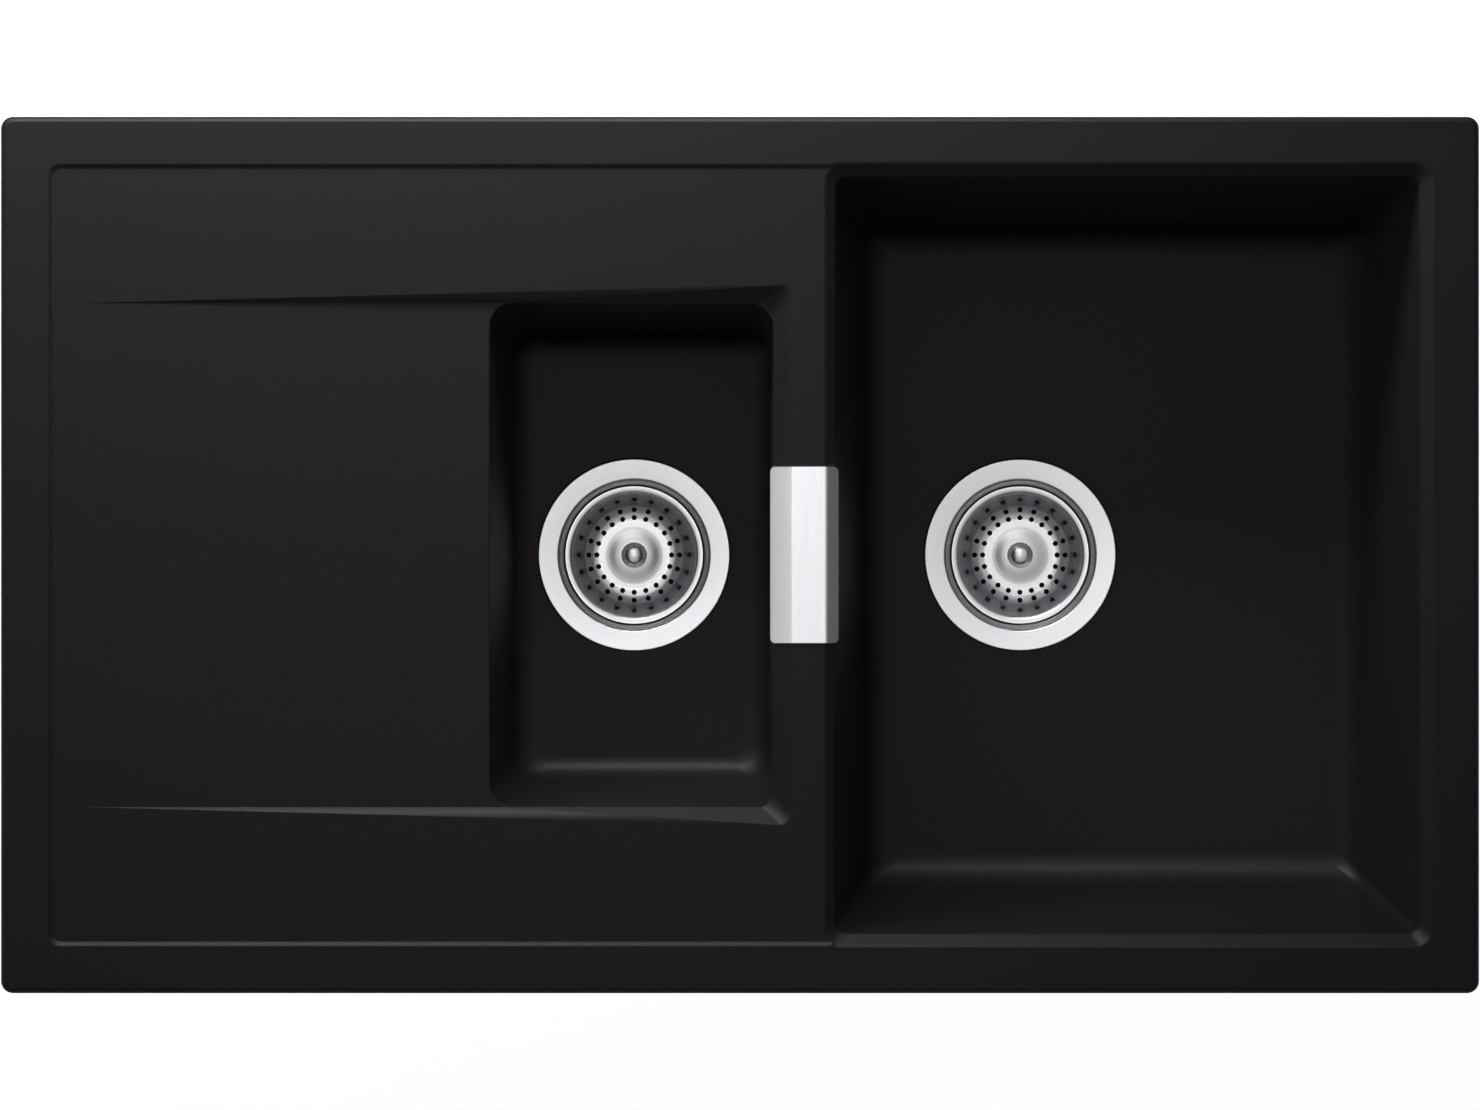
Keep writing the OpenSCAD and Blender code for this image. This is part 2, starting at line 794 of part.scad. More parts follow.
// Middle line of the pressed basket: a flat rim, a rounded wall, a perforated cone and a floor whose
// middle is pressed up into a dish. Each radius is told by how far it lies inside the one before
basket_throat_in = 1.4;
basket_throat_drop = 5;
basket_wall_in = 2.9;
basket_wall_drop = 9;
basket_cone_in = 4.8;
basket_cone_rise = 5;
basket_floor_in = 6;
basket_floor_rise = 7.5;
dish_r = 15.5;
dish_slope = 6;
dish_h = 1.5;
basket_in_r = basket_r - basket_lip;
basket_wall_r = basket_in_r - basket_wall_in;
basket_cone_r = basket_wall_r - basket_cone_in;
basket_floor_r = basket_cone_r - basket_floor_in;
basket_floor_z = plate_z + seal_t + basket_floor_rise;
basket_flat = [[basket_r, -basket_sink], [basket_in_r, -basket_sink]];
basket_cone = [[basket_in_r - basket_throat_in, -basket_sink - basket_throat_drop],
    [basket_wall_r, -basket_sink - basket_wall_drop],
    [basket_cone_r, basket_floor_z + basket_cone_rise]];
basket_base = [[basket_floor_r, basket_floor_z], [dish_r, basket_floor_z],
    [dish_r - dish_slope, basket_floor_z + dish_h], [0, basket_floor_z + dish_h]];
// Distances of the three rings of holes inside the wall's, the cone's and the floor's radius
hole_ring_in = [1.9, 2.6, 1.3];
hole_ring_r = [basket_wall_r, basket_cone_r, basket_floor_r] - hole_ring_in;

// Points of a line moved by a step, taken backwards
function back(line, step) = [for (i = [len(line) - 1:-1:0]) line[i] + step];

module basket() {
    up = [0, basket_t];
    aside = [-basket_t, basket_t / 2];
    color(steel)
    difference() {
        rotate_extrude() polygon(concat(basket_flat, basket_cone, basket_base,
            back(basket_base, up), back(basket_cone, aside), back(basket_flat, up)));
        for (r = hole_ring_r, i = [0:drain_holes - 1])
            rotate([0, 0, 360 * i / drain_holes]) translate([r, 0, 0])
            rod(drain_hole_r, basket_floor_z - cut, -basket_sink);
        rod(stem_r, basket_floor_z - cut, basket_floor_z + dish_h + 2 * cut);
    }
}

knob_drop = 8;
knob_z = -basket_sink - knob_drop;
neck_r = 4;
stem_flange_r = 14;
stem_flange_t = 1.5;
dish_top = basket_floor_z + dish_h + basket_t;

module basket_stem() {
    under = plate_z + seal_t;
    color(steel)
    union() {
        rod(stem_r, plate_z - stem_tip + bolt_head_h, knob_z);
        rod(stem_flange_r, under, under + stem_flange_t);
        rod(neck_r, under + stem_flange_t, basket_floor_z + dish_h);
        rod(neck_r, dish_top, knob_z - knob_r / 2);
    }
}

module basket_knob() {
    color(bright_steel)
    translate([0, 0, knob_z])
    difference() {
        sphere(r = knob_r);
        rod(stem_r, -knob_r - cut, 0);
        rod(knob_r, -knob_r - cut, -knob_r / 2);
    }
}

module basket_seal() {
    color(black_rubber) tube(seal_r, bolt_head_r + slide_gap, plate_z, plate_z + seal_t);
}

module main_flange_seal() at_main_waste() flange_seal();
module main_strainer_pot() at_main_waste() strainer_pot();
module main_centre_bolt() at_main_waste() centre_bolt();
module main_bolt_insert() at_main_waste() bolt_insert();
module main_body_gasket() at_main_waste() body_gasket();
module main_waste_body() at_main_waste() ported_waste_body();
module main_basket() at_main_waste() basket();
module main_basket_stem() at_main_waste() basket_stem();
module main_basket_knob() at_main_waste() basket_knob();
module main_basket_seal() at_main_waste() basket_seal();
module small_flange_seal() at_small_waste() flange_seal();
module small_strainer_pot() at_small_waste() strainer_pot();
module small_centre_bolt() at_small_waste() centre_bolt();
module small_bolt_insert() at_small_waste() bolt_insert();
module small_body_gasket() at_small_waste() body_gasket();
module small_waste_body() at_small_waste() plain_waste_body();
module small_basket() at_small_waste() basket();
module small_basket_stem() at_small_waste() basket_stem();
module small_basket_knob() at_small_waste() basket_knob();
module small_basket_seal() at_small_waste() basket_seal();

// Screwed joints: the end of a male thread faces down at the origin of each
elbow_end_x = small_waste_x + elbow_arm + thread_l;
tee_end_x = main_waste_x - tee_arm;

module at_unions() {
    at_main_waste() translate([0, 0, spigot_end]) children();
    at_small_waste() translate([0, 0, spigot_end]) children();
    translate([elbow_end_x, 0, cross_z]) rotate([0, -90, 0]) children();
    translate([tee_end_x, 0, cross_z]) rotate([0, 90, 0]) children();
}

module union_nut() {
    lip = -union_washer_t - collar_t - pin_gap;
    difference() {
        union() {
            rod(nut_r, lip - nut_lip_t, nut_reach);
            for (i = [0:nut_ribs - 1])
                rotate([0, 0, 360 * i / nut_ribs])
                translate([nut_r - nut_rib_h, -nut_rib_w / 2, lip])
                cube([2 * nut_rib_h, nut_rib_w, nut_reach - lip - cut]);
        }
        rod(thread_r + pin_gap, lip, nut_reach + cut);
        rod(pipe_r + slide_gap, lip - nut_lip_t - cut, lip + cut);
    }
}

module union_nuts() {
    color(white_plastic) at_unions() union_nut();
}

module union_washers() {
    color(black_rubber) at_unions() tube(collar_r, bore_r, -union_washer_t, 0);
}

// A pipe that hangs from a screwed joint: the collar under the washer, then the pipe
pipe_top = -union_washer_t;

module small_elbow() {
    top = spigot_end - small_depth + pipe_top;
    turn_z = cross_z + elbow_bend;
    color(white_plastic)
    translate([small_waste_x, 0, 0])
    difference() {
        union() {
            rod(collar_r, top - collar_t, top);
            elbow_path(pipe_r, turn_z, top, elbow_arm + thread_l);
            translate([elbow_arm, 0, cross_z]) rotate([0, 90, 0]) cylinder(r = thread_r, h = thread_l);
        }
        elbow_path(bore_r, turn_z, top, elbow_arm + thread_l);
    }
}

// Straight down, round one bend, and along
module elbow_path(r, turn_z, top, arm) {
    rod(r, turn_z, top);
    translate([elbow_bend, 0, turn_z])
    rotate([90, 0, 0]) rotate([0, 0, 180])
    rotate_extrude(angle = 90) translate([elbow_bend, 0]) circle(r = r);
    translate([elbow_bend, 0, turn_z - elbow_bend])
    rotate([0, 90, 0]) cylinder(r = r, h = arm - elbow_bend);
}

module cross_pipe() {
    x1 = elbow_end_x + union_washer_t;
    x2 = tee_end_x - union_washer_t;
    color(white_plastic)
    translate([0, 0, cross_z]) rotate([0, 90, 0])
    difference() {
        union() {
            rod(pipe_r, x1, x2);
            rod(collar_r, x1, x1 + collar_t);
            rod(collar_r, x2 - collar_t, x2);
        }
        rod(bore_r, x1 - cut, x2 + cut);
    }
}

// The tee under the main waste. Its lower end is threaded for the trap's nut
module outlet_tee() {
    top = spigot_end - main_depth + pipe_top;
    end = cross_z - outlet_l;
    color(white_plastic)
    translate([main_waste_x, 0, 0])
    difference() {
        union() {
            rod(collar_r, top - collar_t, top);
            rod(pipe_r, end, top);
            rod(thread_r, end, end + thread_l);
            translate([0, 0, cross_z]) rotate([0, -90, 0]) cylinder(r = pipe_r, h = tee_arm);
            translate([0, 0, cross_z]) rotate([0, -90, 0]) rod(thread_r, tee_arm - thread_l, tee_arm);
        }
        rod(bore_r, end - cut, top + cut);
        translate([0, 0, cross_z]) rotate([0, -90, 0]) rod(bore_r, 0, tee_arm + cut);
    }
}

rim_and_drainer();
main_bowl();
small_bowl();
rim_inserts();
overflow_cover();
overflow_inserts();
overflow_gasket();
overflow_housing();
overflow_screws();
overflow_hose();
hose_clips();
strap_front_left();
strap_front_middle();
strap_front_right();
strap_rear_left();
strap_rear_middle();
strap_rear_right();
strap_left();
strap_right();
strap_washers();
strap_screws();
main_flange_seal();
main_strainer_pot();
main_centre_bolt();
main_bolt_insert();
main_body_gasket();
main_waste_body();
main_basket();
main_basket_stem();
main_basket_knob();
main_basket_seal();
small_flange_seal();
small_strainer_pot();
small_centre_bolt();
small_bolt_insert();
small_body_gasket();
small_waste_body();
small_basket();
small_basket_stem();
small_basket_knob();
small_basket_seal();
small_elbow();
cross_pipe();
outlet_tee();
union_nuts();
union_washers();
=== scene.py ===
"""Looks of a composite kitchen sink: its moulding, wastes, overflow, fixings and pipes."""

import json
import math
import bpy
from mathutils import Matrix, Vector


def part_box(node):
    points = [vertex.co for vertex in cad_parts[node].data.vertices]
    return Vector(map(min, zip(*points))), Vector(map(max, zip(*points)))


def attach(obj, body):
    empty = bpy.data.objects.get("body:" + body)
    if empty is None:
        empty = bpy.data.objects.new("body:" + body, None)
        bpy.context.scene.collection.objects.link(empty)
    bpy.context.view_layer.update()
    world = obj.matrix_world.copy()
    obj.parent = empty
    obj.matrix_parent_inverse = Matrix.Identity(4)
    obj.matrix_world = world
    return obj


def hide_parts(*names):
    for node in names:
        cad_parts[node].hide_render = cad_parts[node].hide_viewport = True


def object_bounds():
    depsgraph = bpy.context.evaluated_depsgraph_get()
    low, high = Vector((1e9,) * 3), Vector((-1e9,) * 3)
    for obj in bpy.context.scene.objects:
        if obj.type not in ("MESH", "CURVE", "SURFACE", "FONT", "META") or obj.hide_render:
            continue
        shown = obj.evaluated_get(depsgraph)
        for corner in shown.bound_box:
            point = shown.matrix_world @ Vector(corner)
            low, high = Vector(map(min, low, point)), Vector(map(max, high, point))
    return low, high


bl_info = {
    "name": "Composite Sink",
    "version": (1, 0, 0),
    "blender": (4, 5, 0),
    "location": "View3D > Sidebar > Sink",
    "description": "Models a composite sink with its strainers, overflow, straps and pipes",
    "category": "Object",
}

import bmesh
import bpy
from mathutils import Vector

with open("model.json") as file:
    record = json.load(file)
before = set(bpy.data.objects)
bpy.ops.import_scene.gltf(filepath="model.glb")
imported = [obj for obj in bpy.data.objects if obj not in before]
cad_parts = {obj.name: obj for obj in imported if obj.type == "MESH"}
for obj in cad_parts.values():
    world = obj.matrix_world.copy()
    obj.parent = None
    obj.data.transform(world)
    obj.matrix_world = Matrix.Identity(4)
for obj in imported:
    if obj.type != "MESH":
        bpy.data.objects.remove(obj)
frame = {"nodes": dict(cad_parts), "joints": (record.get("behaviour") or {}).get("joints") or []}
CAD_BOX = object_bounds()


def mm(value):
    """Millimetres to Blender's metres."""
    return value / 1000.0


# Places read from the frame
RIM_LOW, RIM_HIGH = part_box("rim_and_drainer")
MAIN_LOW, MAIN_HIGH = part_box("main_bowl")
COVER_LOW, COVER_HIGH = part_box("overflow_cover")
MAIN_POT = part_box("main_strainer_pot")
SMALL_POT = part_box("small_strainer_pot")
WASTES = {
    "main": ((MAIN_POT[0].x + MAIN_POT[1].x) / 2, MAIN_POT[1].z),
    "small": ((SMALL_POT[0].x + SMALL_POT[1].x) / 2, SMALL_POT[1].z),
}
STRAP_FIXINGS = ("strap_screws", "strap_washers")
STRAPS = [name for name in frame["nodes"] if name.startswith("strap_") and name not in STRAP_FIXINGS]


def waste_places():
    """Each waste's name and the point on its axis at its bowl's floor."""
    return [(name, (x, 0, floor)) for name, (x, floor) in WASTES.items()]


def pivots():
    """Plan places of the straps' pivots, from left to right."""
    places = [j["pos_m"] for j in frame["joints"] if j["name"].startswith("strap_")]
    return sorted((x, y) for x, y, _ in places)


def length(name, description, millimetres):
    """One length that a user may change, shown in Blender's units."""
    return bpy.props.FloatProperty(
        name=name, description=description, default=mm(millimetres), min=0, precision=4, unit="LENGTH"
    )


def power(name, description, watts):
    """One lamp's power, which a user may change."""
    return bpy.props.FloatProperty(name=name, description=description, default=watts, min=0, unit="POWER")


def linear(colour):
    """An sRGB hex colour as linear red, green and blue."""
    shares = [int(colour[i : i + 2], 16) / 255 for i in (1, 3, 5)]
    return tuple(c / 12.92 if c <= 0.04045 else ((c + 0.055) / 1.055) ** 2.4 for c in shares)


def tint(name, description, colour):
    """One surface colour that a user may change."""
    return bpy.props.FloatVectorProperty(
        name=name, description=description, default=linear(colour), min=0, max=1, subtype="COLOR"
    )


class MouldingSizes(bpy.types.PropertyGroup):
    """Sizes of the composite moulding that its frame box doesn't give."""

    corner_radius: length("Rim corner", "Radius of the rim's four corners", 7)
    edge_round: length("Edge rounding", "Rounding of the rim's top edge", 3.5)
    band: length("Band", "Width of the flat band round the rim", 27)
    step_drop: length("Step drop", "Step down from the band to the drainer", 2)
    step_run: length("Step run", "Width of the step's slope", 3.5)
    step_radius: length("Step corner", "Radius of the step's corners", 5)
    panel_in: length("Panel start", "Distance of the sloping panel's upper end from the left edge", 49)
    panel_fall: length("Panel fall", "Fall of the sloping panel at the small bowl's right edge", 10.6)
    panel_mitre: length("Panel mitre", "Rounding of the two mitres at the panel's low end", 7)
    panel_thickness: length("Panel thickness", "Thickness of the panel under its slope", 10)
    bevel: length("Bowl bevel", "Width and drop of the bevel round the main bowl", 8)
    wall: length("Wall", "Thickness of the bowls' walls", 9)
    floor: length("Floor", "Thickness of the bowls' floors", 11)
    main_left: length("Main left lean", "Lean of the main bowl's left wall", 15.5)
    main_right: length("Main right lean", "Lean of the main bowl's right wall", 27)
    main_ends: length("Main end lean", "Lean of the main bowl's front and rear walls", 24.5)
    main_radius: length("Main corner", "Radius of the main bowl's upright corners", 6)
    main_fillet: length("Main fillet", "Fillet between the main bowl's walls and floor", 21.5)
    divider: length("Divider", "Width of the divider between the two mouths", 30)
    small_length: length("Small length", "Length of the small bowl's mouth", 165)
    small_width: length("Small width", "Size of the small bowl from front to rear", 293.4)
    small_left: length("Small left lean", "Lean of the small bowl's left wall", 13)
    small_right: length("Small right lean", "Lean of the small bowl's right wall", 2.5)
    small_ends: length("Small end lean", "Lean of the small bowl's front and rear walls", 15.5)
    small_radius: length("Small corner", "Radius of the small bowl's upright corners", 14)
    small_fillet: length("Small fillet", "Fillet between the small bowl's walls and floor", 14)
    slot_length: length("Slot length", "Length of the overflow's slot through the divider", 76)
    slot_depth: length("Slot depth", "Depth of the slot below the rim", 28)
    slot_over: length("Slot reach", "How far the slot reaches past the divider's edges", 8)
    channel_radius: length("Channel", "Radius of the overflow's channel down through the web", 8)
    web_half: length("Web", "Half the length of the web that holds the channel", 34)
    web_drop: length("Web drop", "Drop of the web below the rim's underside", 50)
    soft_edge: length("Soft edge", "Rounding of the moulding's edges", 1.2)


class WasteSizes(bpy.types.PropertyGroup):
    """Sizes of a strainer and its basket, with heights measured down from the bowl's floor."""

    hole_radius: length("Hole", "Radius of the hole in the bowl's floor", 45)
    flange_radius: length("Flange", "Radius of the strainer's flange", 56.25)
    flange_thickness: length("Flange thickness", "Thickness of the flange at its edge", 1.2)
    seat_drop: length("Seat", "Depth of the flange's seat in the bowl's floor", 2.7)
    mouth_radius: length("Mouth", "Radius of the flange's inner edge", 44.3)
    pot_radius: length("Pot", "Radius of the pot below its shoulder", 40.9)
    pot_depth: length("Pot depth", "Depth of the pot", 40)
    sheet: length("Pot sheet", "Sheet thickness of the pot", 0.9)
    basket_radius: length("Basket", "Radius of the basket's rim", 40.2)
    basket_lip: length("Basket rim", "Width of the basket's flat rim", 3.3)
    basket_sink: length("Basket drop", "Drop of the basket's rim below the flange", 7)
    basket_sheet: length("Basket sheet", "Sheet thickness of the basket", 0.7)
    drain_radius: length("Small holes", "Radius of the basket's holes", 1.55)
    knob_radius: length("Knob", "Radius of the knob", 7.6)
    knob_drop: length("Knob drop", "Depth of the knob's middle below the flange", 15)


class Finish(bpy.types.PropertyGroup):
    """Colours of the finishes."""

    granite: tint("Composite", "Quartz and acrylic composite", "#2b272d")
    steel: tint("Steel", "Satin stainless steel", "#c9c9cc")
    chrome: tint("Chrome", "Satin chrome", "#d9d9db")
    plastic: tint("Plastic", "White polypropylene", "#e4e3df")
    rubber: tint("Rubber", "Black rubber", "#1a1a1c")
    brass: tint("Brass", "Turned brass", "#b8964c")
    zinc: tint("Zinc", "Zinc plated steel", "#a9adb0")


class Studio(bpy.types.PropertyGroup):
    """The camera and lamps."""

    lens: bpy.props.FloatProperty(
        name="Lens", description="Focal length, so long that no perspective shows", default=900, unit="CAMERA"
    )
    pixel: length("Pixel", "Size on the rim that one pixel of the picture covers", 0.5818)
    width: bpy.props.IntProperty(
        name="Width", description="Width of the picture in pixels", default=1480, min=1, subtype="PIXEL"
    )
    rear_power: power("Rear", "Softbox behind the sink, for what is dull", 5)
    gleam_power: power("Gleam", "Softbox behind the sink that only gloss shows", 120)
    side_power: power("Side", "Low softbox at the left that only gloss shows", 1.6)
    high_power: power("High", "Softbox high over the rear that only gloss shows", 10)
    top_power: power("Top", "Distant spot over the sink, for what is dull", 850)
    bowl_power: power("Bowls", "Narrow distant spot over the two bowls, for what is dull", 600)
    glint_power: power("Glint", "Distant spot over the sink that only gloss shows", 90)
    fill: bpy.props.FloatProperty(
        name="Fill", description="Strength of the surroundings as light", default=0.03, min=0
    )


# Modelling steps, each a few operators


def only(piece):
    """Selects one object and makes it the active one."""
    bpy.ops.object.select_all(action="DESELECT")
    piece.select_set(True)
    bpy.context.view_layer.objects.active = piece


def edit(piece, mode="VERT"):
    """Opens a piece in edit mode with nothing in it selected."""
    only(piece)
    bpy.ops.object.mode_set(mode="EDIT")
    bpy.ops.mesh.select_mode(type=mode)
    bpy.ops.mesh.select_all(action="DESELECT")


def leave():
    """Closes edit mode."""
    bpy.ops.object.mode_set(mode="OBJECT")


def pick_all():
    """Selects all of the open piece."""
    bpy.ops.mesh.select_all(action="SELECT")


def pick(kind, test):
    """Selects the verts, edges or faces of the open piece that pass a test, and nothing else."""
    bpy.ops.mesh.select_all(action="DESELECT")
    mesh = bmesh.from_edit_mesh(bpy.context.edit_object.data)
    for part in getattr(mesh, kind):
        if test(part):
            part.select_set(True)
    mesh.select_flush_mode()
    bmesh.update_edit_mesh(bpy.context.edit_object.data)


def plane(name, left, right, front, rear, height):
    """A flat rectangle, left open in edit mode and selected."""
    bpy.ops.object.select_all(action="DESELECT")
    bpy.ops.mesh.primitive_plane_add(size=1)
    piece = bpy.context.object
    piece.name = name
    bpy.ops.object.mode_set(mode="EDIT")
    bpy.ops.mesh.select_mode(type="VERT")
    pick_all()
    bpy.ops.transform.resize(value=(right - left, rear - front, 1))
    bpy.ops.transform.translate(value=((left + right) / 2, (front + rear) / 2, height))
    return piece


def rod(name, centre, radius, low, high, vertices=64):
    """An upright cylinder between two heights."""
    bpy.ops.object.select_all(action="DESELECT")
    bpy.ops.mesh.primitive_cylinder_add(
        vertices=vertices, radius=radius, depth=high - low, location=(centre[0], centre[1], (low + high) / 2)
    )
    piece = bpy.context.object
    piece.name = name
    bpy.ops.object.transform_apply(location=True, rotation=True, scale=True)
    return piece


def block(name, left, right, front, rear, low, high, rounding=0.0, segments=2):
    """A rectangular block with its edges rounded."""
    piece = plane(name, left, right, front, rear, low)
    extrude((0, 0, high - low))
    pick_all()
    bpy.ops.mesh.normals_make_consistent(inside=False)
    if rounding:
        bpy.ops.mesh.bevel(offset=rounding, segments=segments, affect="EDGES")
    leave()
    return piece


def extrude(step):
    """Extrudes what is selected by a step."""
    bpy.ops.mesh.extrude_region_move(TRANSFORM_OT_translate={"value": step})


def join(pieces):
    """Joins pieces into the first."""
    only(pieces[0])
    for piece in pieces[1:]:
        piece.select_set(True)
    if len(pieces) > 1:
        bpy.ops.object.join()
    return pieces[0]


def modify(piece, kind, **settings):
    """Adds a modifier with its settings and applies it."""
    only(piece)
    modifier = piece.modifiers.new(kind.lower(), kind)
    for name, value in settings.items():
        setattr(modifier, name, value)
    bpy.ops.object.modifier_apply(modifier=modifier.name)


def combine(piece, other, operation="DIFFERENCE"):
    """Cuts or adds another solid, which is used up."""
    modify(piece, "BOOLEAN", operation=operation, solver="EXACT", object=other)
    bpy.data.objects.remove(other)


def close_seams(piece, gap=mm(0.01), outward=True):
    """Merges doubles, and turns the faces outward unless they already point the right way."""
    edit(piece)
    pick_all()
    bpy.ops.mesh.remove_doubles(threshold=gap)
    if outward:
        bpy.ops.mesh.normals_make_consistent(inside=False)
    leave()


def smooth(piece, angle):
    """Smooth shading that keeps edges sharper than an angle in degrees, and flat faces flat."""
    only(piece)
    bpy.ops.object.shade_smooth_by_angle(angle=math.radians(angle))
    modify(piece, "WEIGHTED_NORMAL", keep_sharp=True)


def soften(piece, width, segments, test):
    """Rounds the edges of a piece that pass a test."""
    edit(piece, "EDGE")
    pick("edges", test)
    bpy.ops.mesh.bevel(offset=width, segments=segments, affect="EDGES", clamp_overlap=False, loop_slide=True)
    leave()


def fold(edge):
    """Angle in degrees between an edge's two faces: 0 where they lie flat."""
    return math.degrees(edge.calc_face_angle(0.0))


def curve_point(start, corner, end, share):
    """A point on the arc from start to end that would meet at corner. A share of 0 is the start."""
    pull = 0.5523
    first = start + (corner - start) * pull
    second = end + (corner - end) * pull
    rest = 1 - share
    return rest**3 * start + 3 * rest**2 * share * first + 3 * rest * share**2 * second + share**3 * end


def rounded(points):
    """An open outline with rounded corners. A point is (radius, height, rounding of its corner)."""
    steps = 4
    most = 0.49
    line = [Vector(p[:2]) for p in points]
    made = [line[0]]
    for before, here, after, point in zip(line, line[1:], line[2:], points[1:]):
        size = point[2] if len(point) > 2 else 0
        if not size:
            made.append(here)
            continue
        start = here + (before - here).normalized() * min(size, most * (before - here).length)
        end = here + (after - here).normalized() * min(size, most * (after - here).length)
        made += [curve_point(start, here, end, i / steps) for i in range(steps + 1)]
    return made + [line[-1]]


def turned(name, outline, centre, steps, closed=True):
    """A piece turned round an upright axis from (radius, height) points, measured from a centre."""
    piece = plane(name, -mm(1), mm(1), -mm(1), mm(1), 0)
    bpy.ops.mesh.merge(type="CENTER")
    x, y, z = centre
    bpy.ops.transform.translate(value=(x + outline[0][0], y, z + outline[0][1]))
    for here, after in zip(outline, outline[1:]):
        extrude((after[0] - here[0], 0, after[1] - here[1]))
    if closed:
        extrude((outline[0][0] - outline[-1][0], 0, outline[0][1] - outline[-1][1]))
    pick_all()
    bpy.ops.mesh.remove_doubles(threshold=mm(0.001))
    pick_all()
    bpy.ops.mesh.spin(steps=steps, angle=math.tau, center=centre, axis=(0, 0, 1))
    leave()
    close_seams(piece, gap=mm(0.003))
    return piece


def settle(piece, body, slot, material, *nodes):
    """Gives a piece its material and its body, and hides the nodes that it stands for."""
    piece.data.materials.clear()
    piece.data.materials.append(material)
    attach(piece, body)
    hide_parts(*nodes)


def refined(source, name, rounding):
    """A copy of a CAD node with closed seams and rounded edges. The rounding is in millimetres."""
    flat = 0.5
    sharp = 35
    only(frame["nodes"][source])
    bpy.ops.object.duplicate()
    piece = bpy.context.object
    piece.name = name
    piece.parent = None
    for key in [k for k in piece.keys() if k.startswith("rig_")]:
        del piece[key]
    edit(piece)
    pick_all()
    bpy.ops.mesh.remove_doubles(threshold=mm(0.005))
    bpy.ops.mesh.dissolve_limited(angle_limit=math.radians(flat))
    leave()
    edges = {"limit_method": "ANGLE", "angle_limit": math.radians(sharp)}
    modify(piece, "BEVEL", width=mm(rounding), segments=2, **edges)
    smooth(piece, sharp)
    return piece


# The moulding


def ring_block(name, rings, segments=6):
    """A closed block through rounded rectangles, each (left, right, half width, height, corner radius)."""
    left, right, half, height, radius = rings[0]
    piece = plane(name, left, right, -half, half, height)
    bpy.ops.mesh.bevel(affect="VERTICES", offset=radius, segments=segments)
    for before, after in zip(rings, rings[1:]):
        extrude((0, 0, after[3] - before[3]))
        move_corners(before, after)
    pick_all()
    bpy.ops.mesh.normals_make_consistent(inside=False)
    leave()
    return piece


def move_corners(before, after):
    """Moves the four rounded corners of the selected ring from one rectangle to the next."""
    mesh = bmesh.from_edit_mesh(bpy.context.edit_object.data)
    ring = {v.index for v in mesh.verts if v.select}
    middle = (before[0] + before[1]) / 2
    for right in (False, True):
        for rear in (False, True):
            pick("verts", lambda v: v.index in ring and (v.co.x > middle) == right and (v.co.y > 0) == rear)
            side = 1 if rear else -1
            step_x = after[1] - before[1] if right else after[0] - before[0]
            step_y = side * (after[2] - before[2])
            inward = -1 if right else 1
            turn_x = before[4] - after[4]
            bpy.ops.transform.translate(value=(step_x - inward * turn_x, step_y + side * turn_x, 0))
            if after[4] != before[4]:
                share = after[4] / before[4]
                centre_x = (after[1] if right else after[0]) + inward * after[4]
                centre = (centre_x, side * (after[2] - after[4]), after[3])
                bpy.ops.transform.resize(value=(share, share, 1), center_override=centre)
    pick("verts", lambda v: v.index in ring)


def bowl_rings(mouth, leans, fillet, depth, radius, grow=0.0, drop=0.0):
    """Rings down a bowl's leaning walls and round its fillet, for its hollow or its grown outer shell."""
    steps = 8
    left, right, half, top = mouth
    foot = fillet - depth
    bottom = -depth - drop
    sides = []
    for lean in leans:
        slope = lean / (top - foot)
        start = Vector((lean, foot))
        corner = Vector((lean + slope * (fillet + drop), bottom))
        end = Vector((lean + fillet, bottom))
        sides.append([curve_point(start, corner, end, i / steps) for i in range(steps + 1)])
    return [
        (left + a.x - grow, right - b.x + grow, half - c.x + grow, a.y, radius + grow)
        for a, b, c in zip(*sides)
    ]


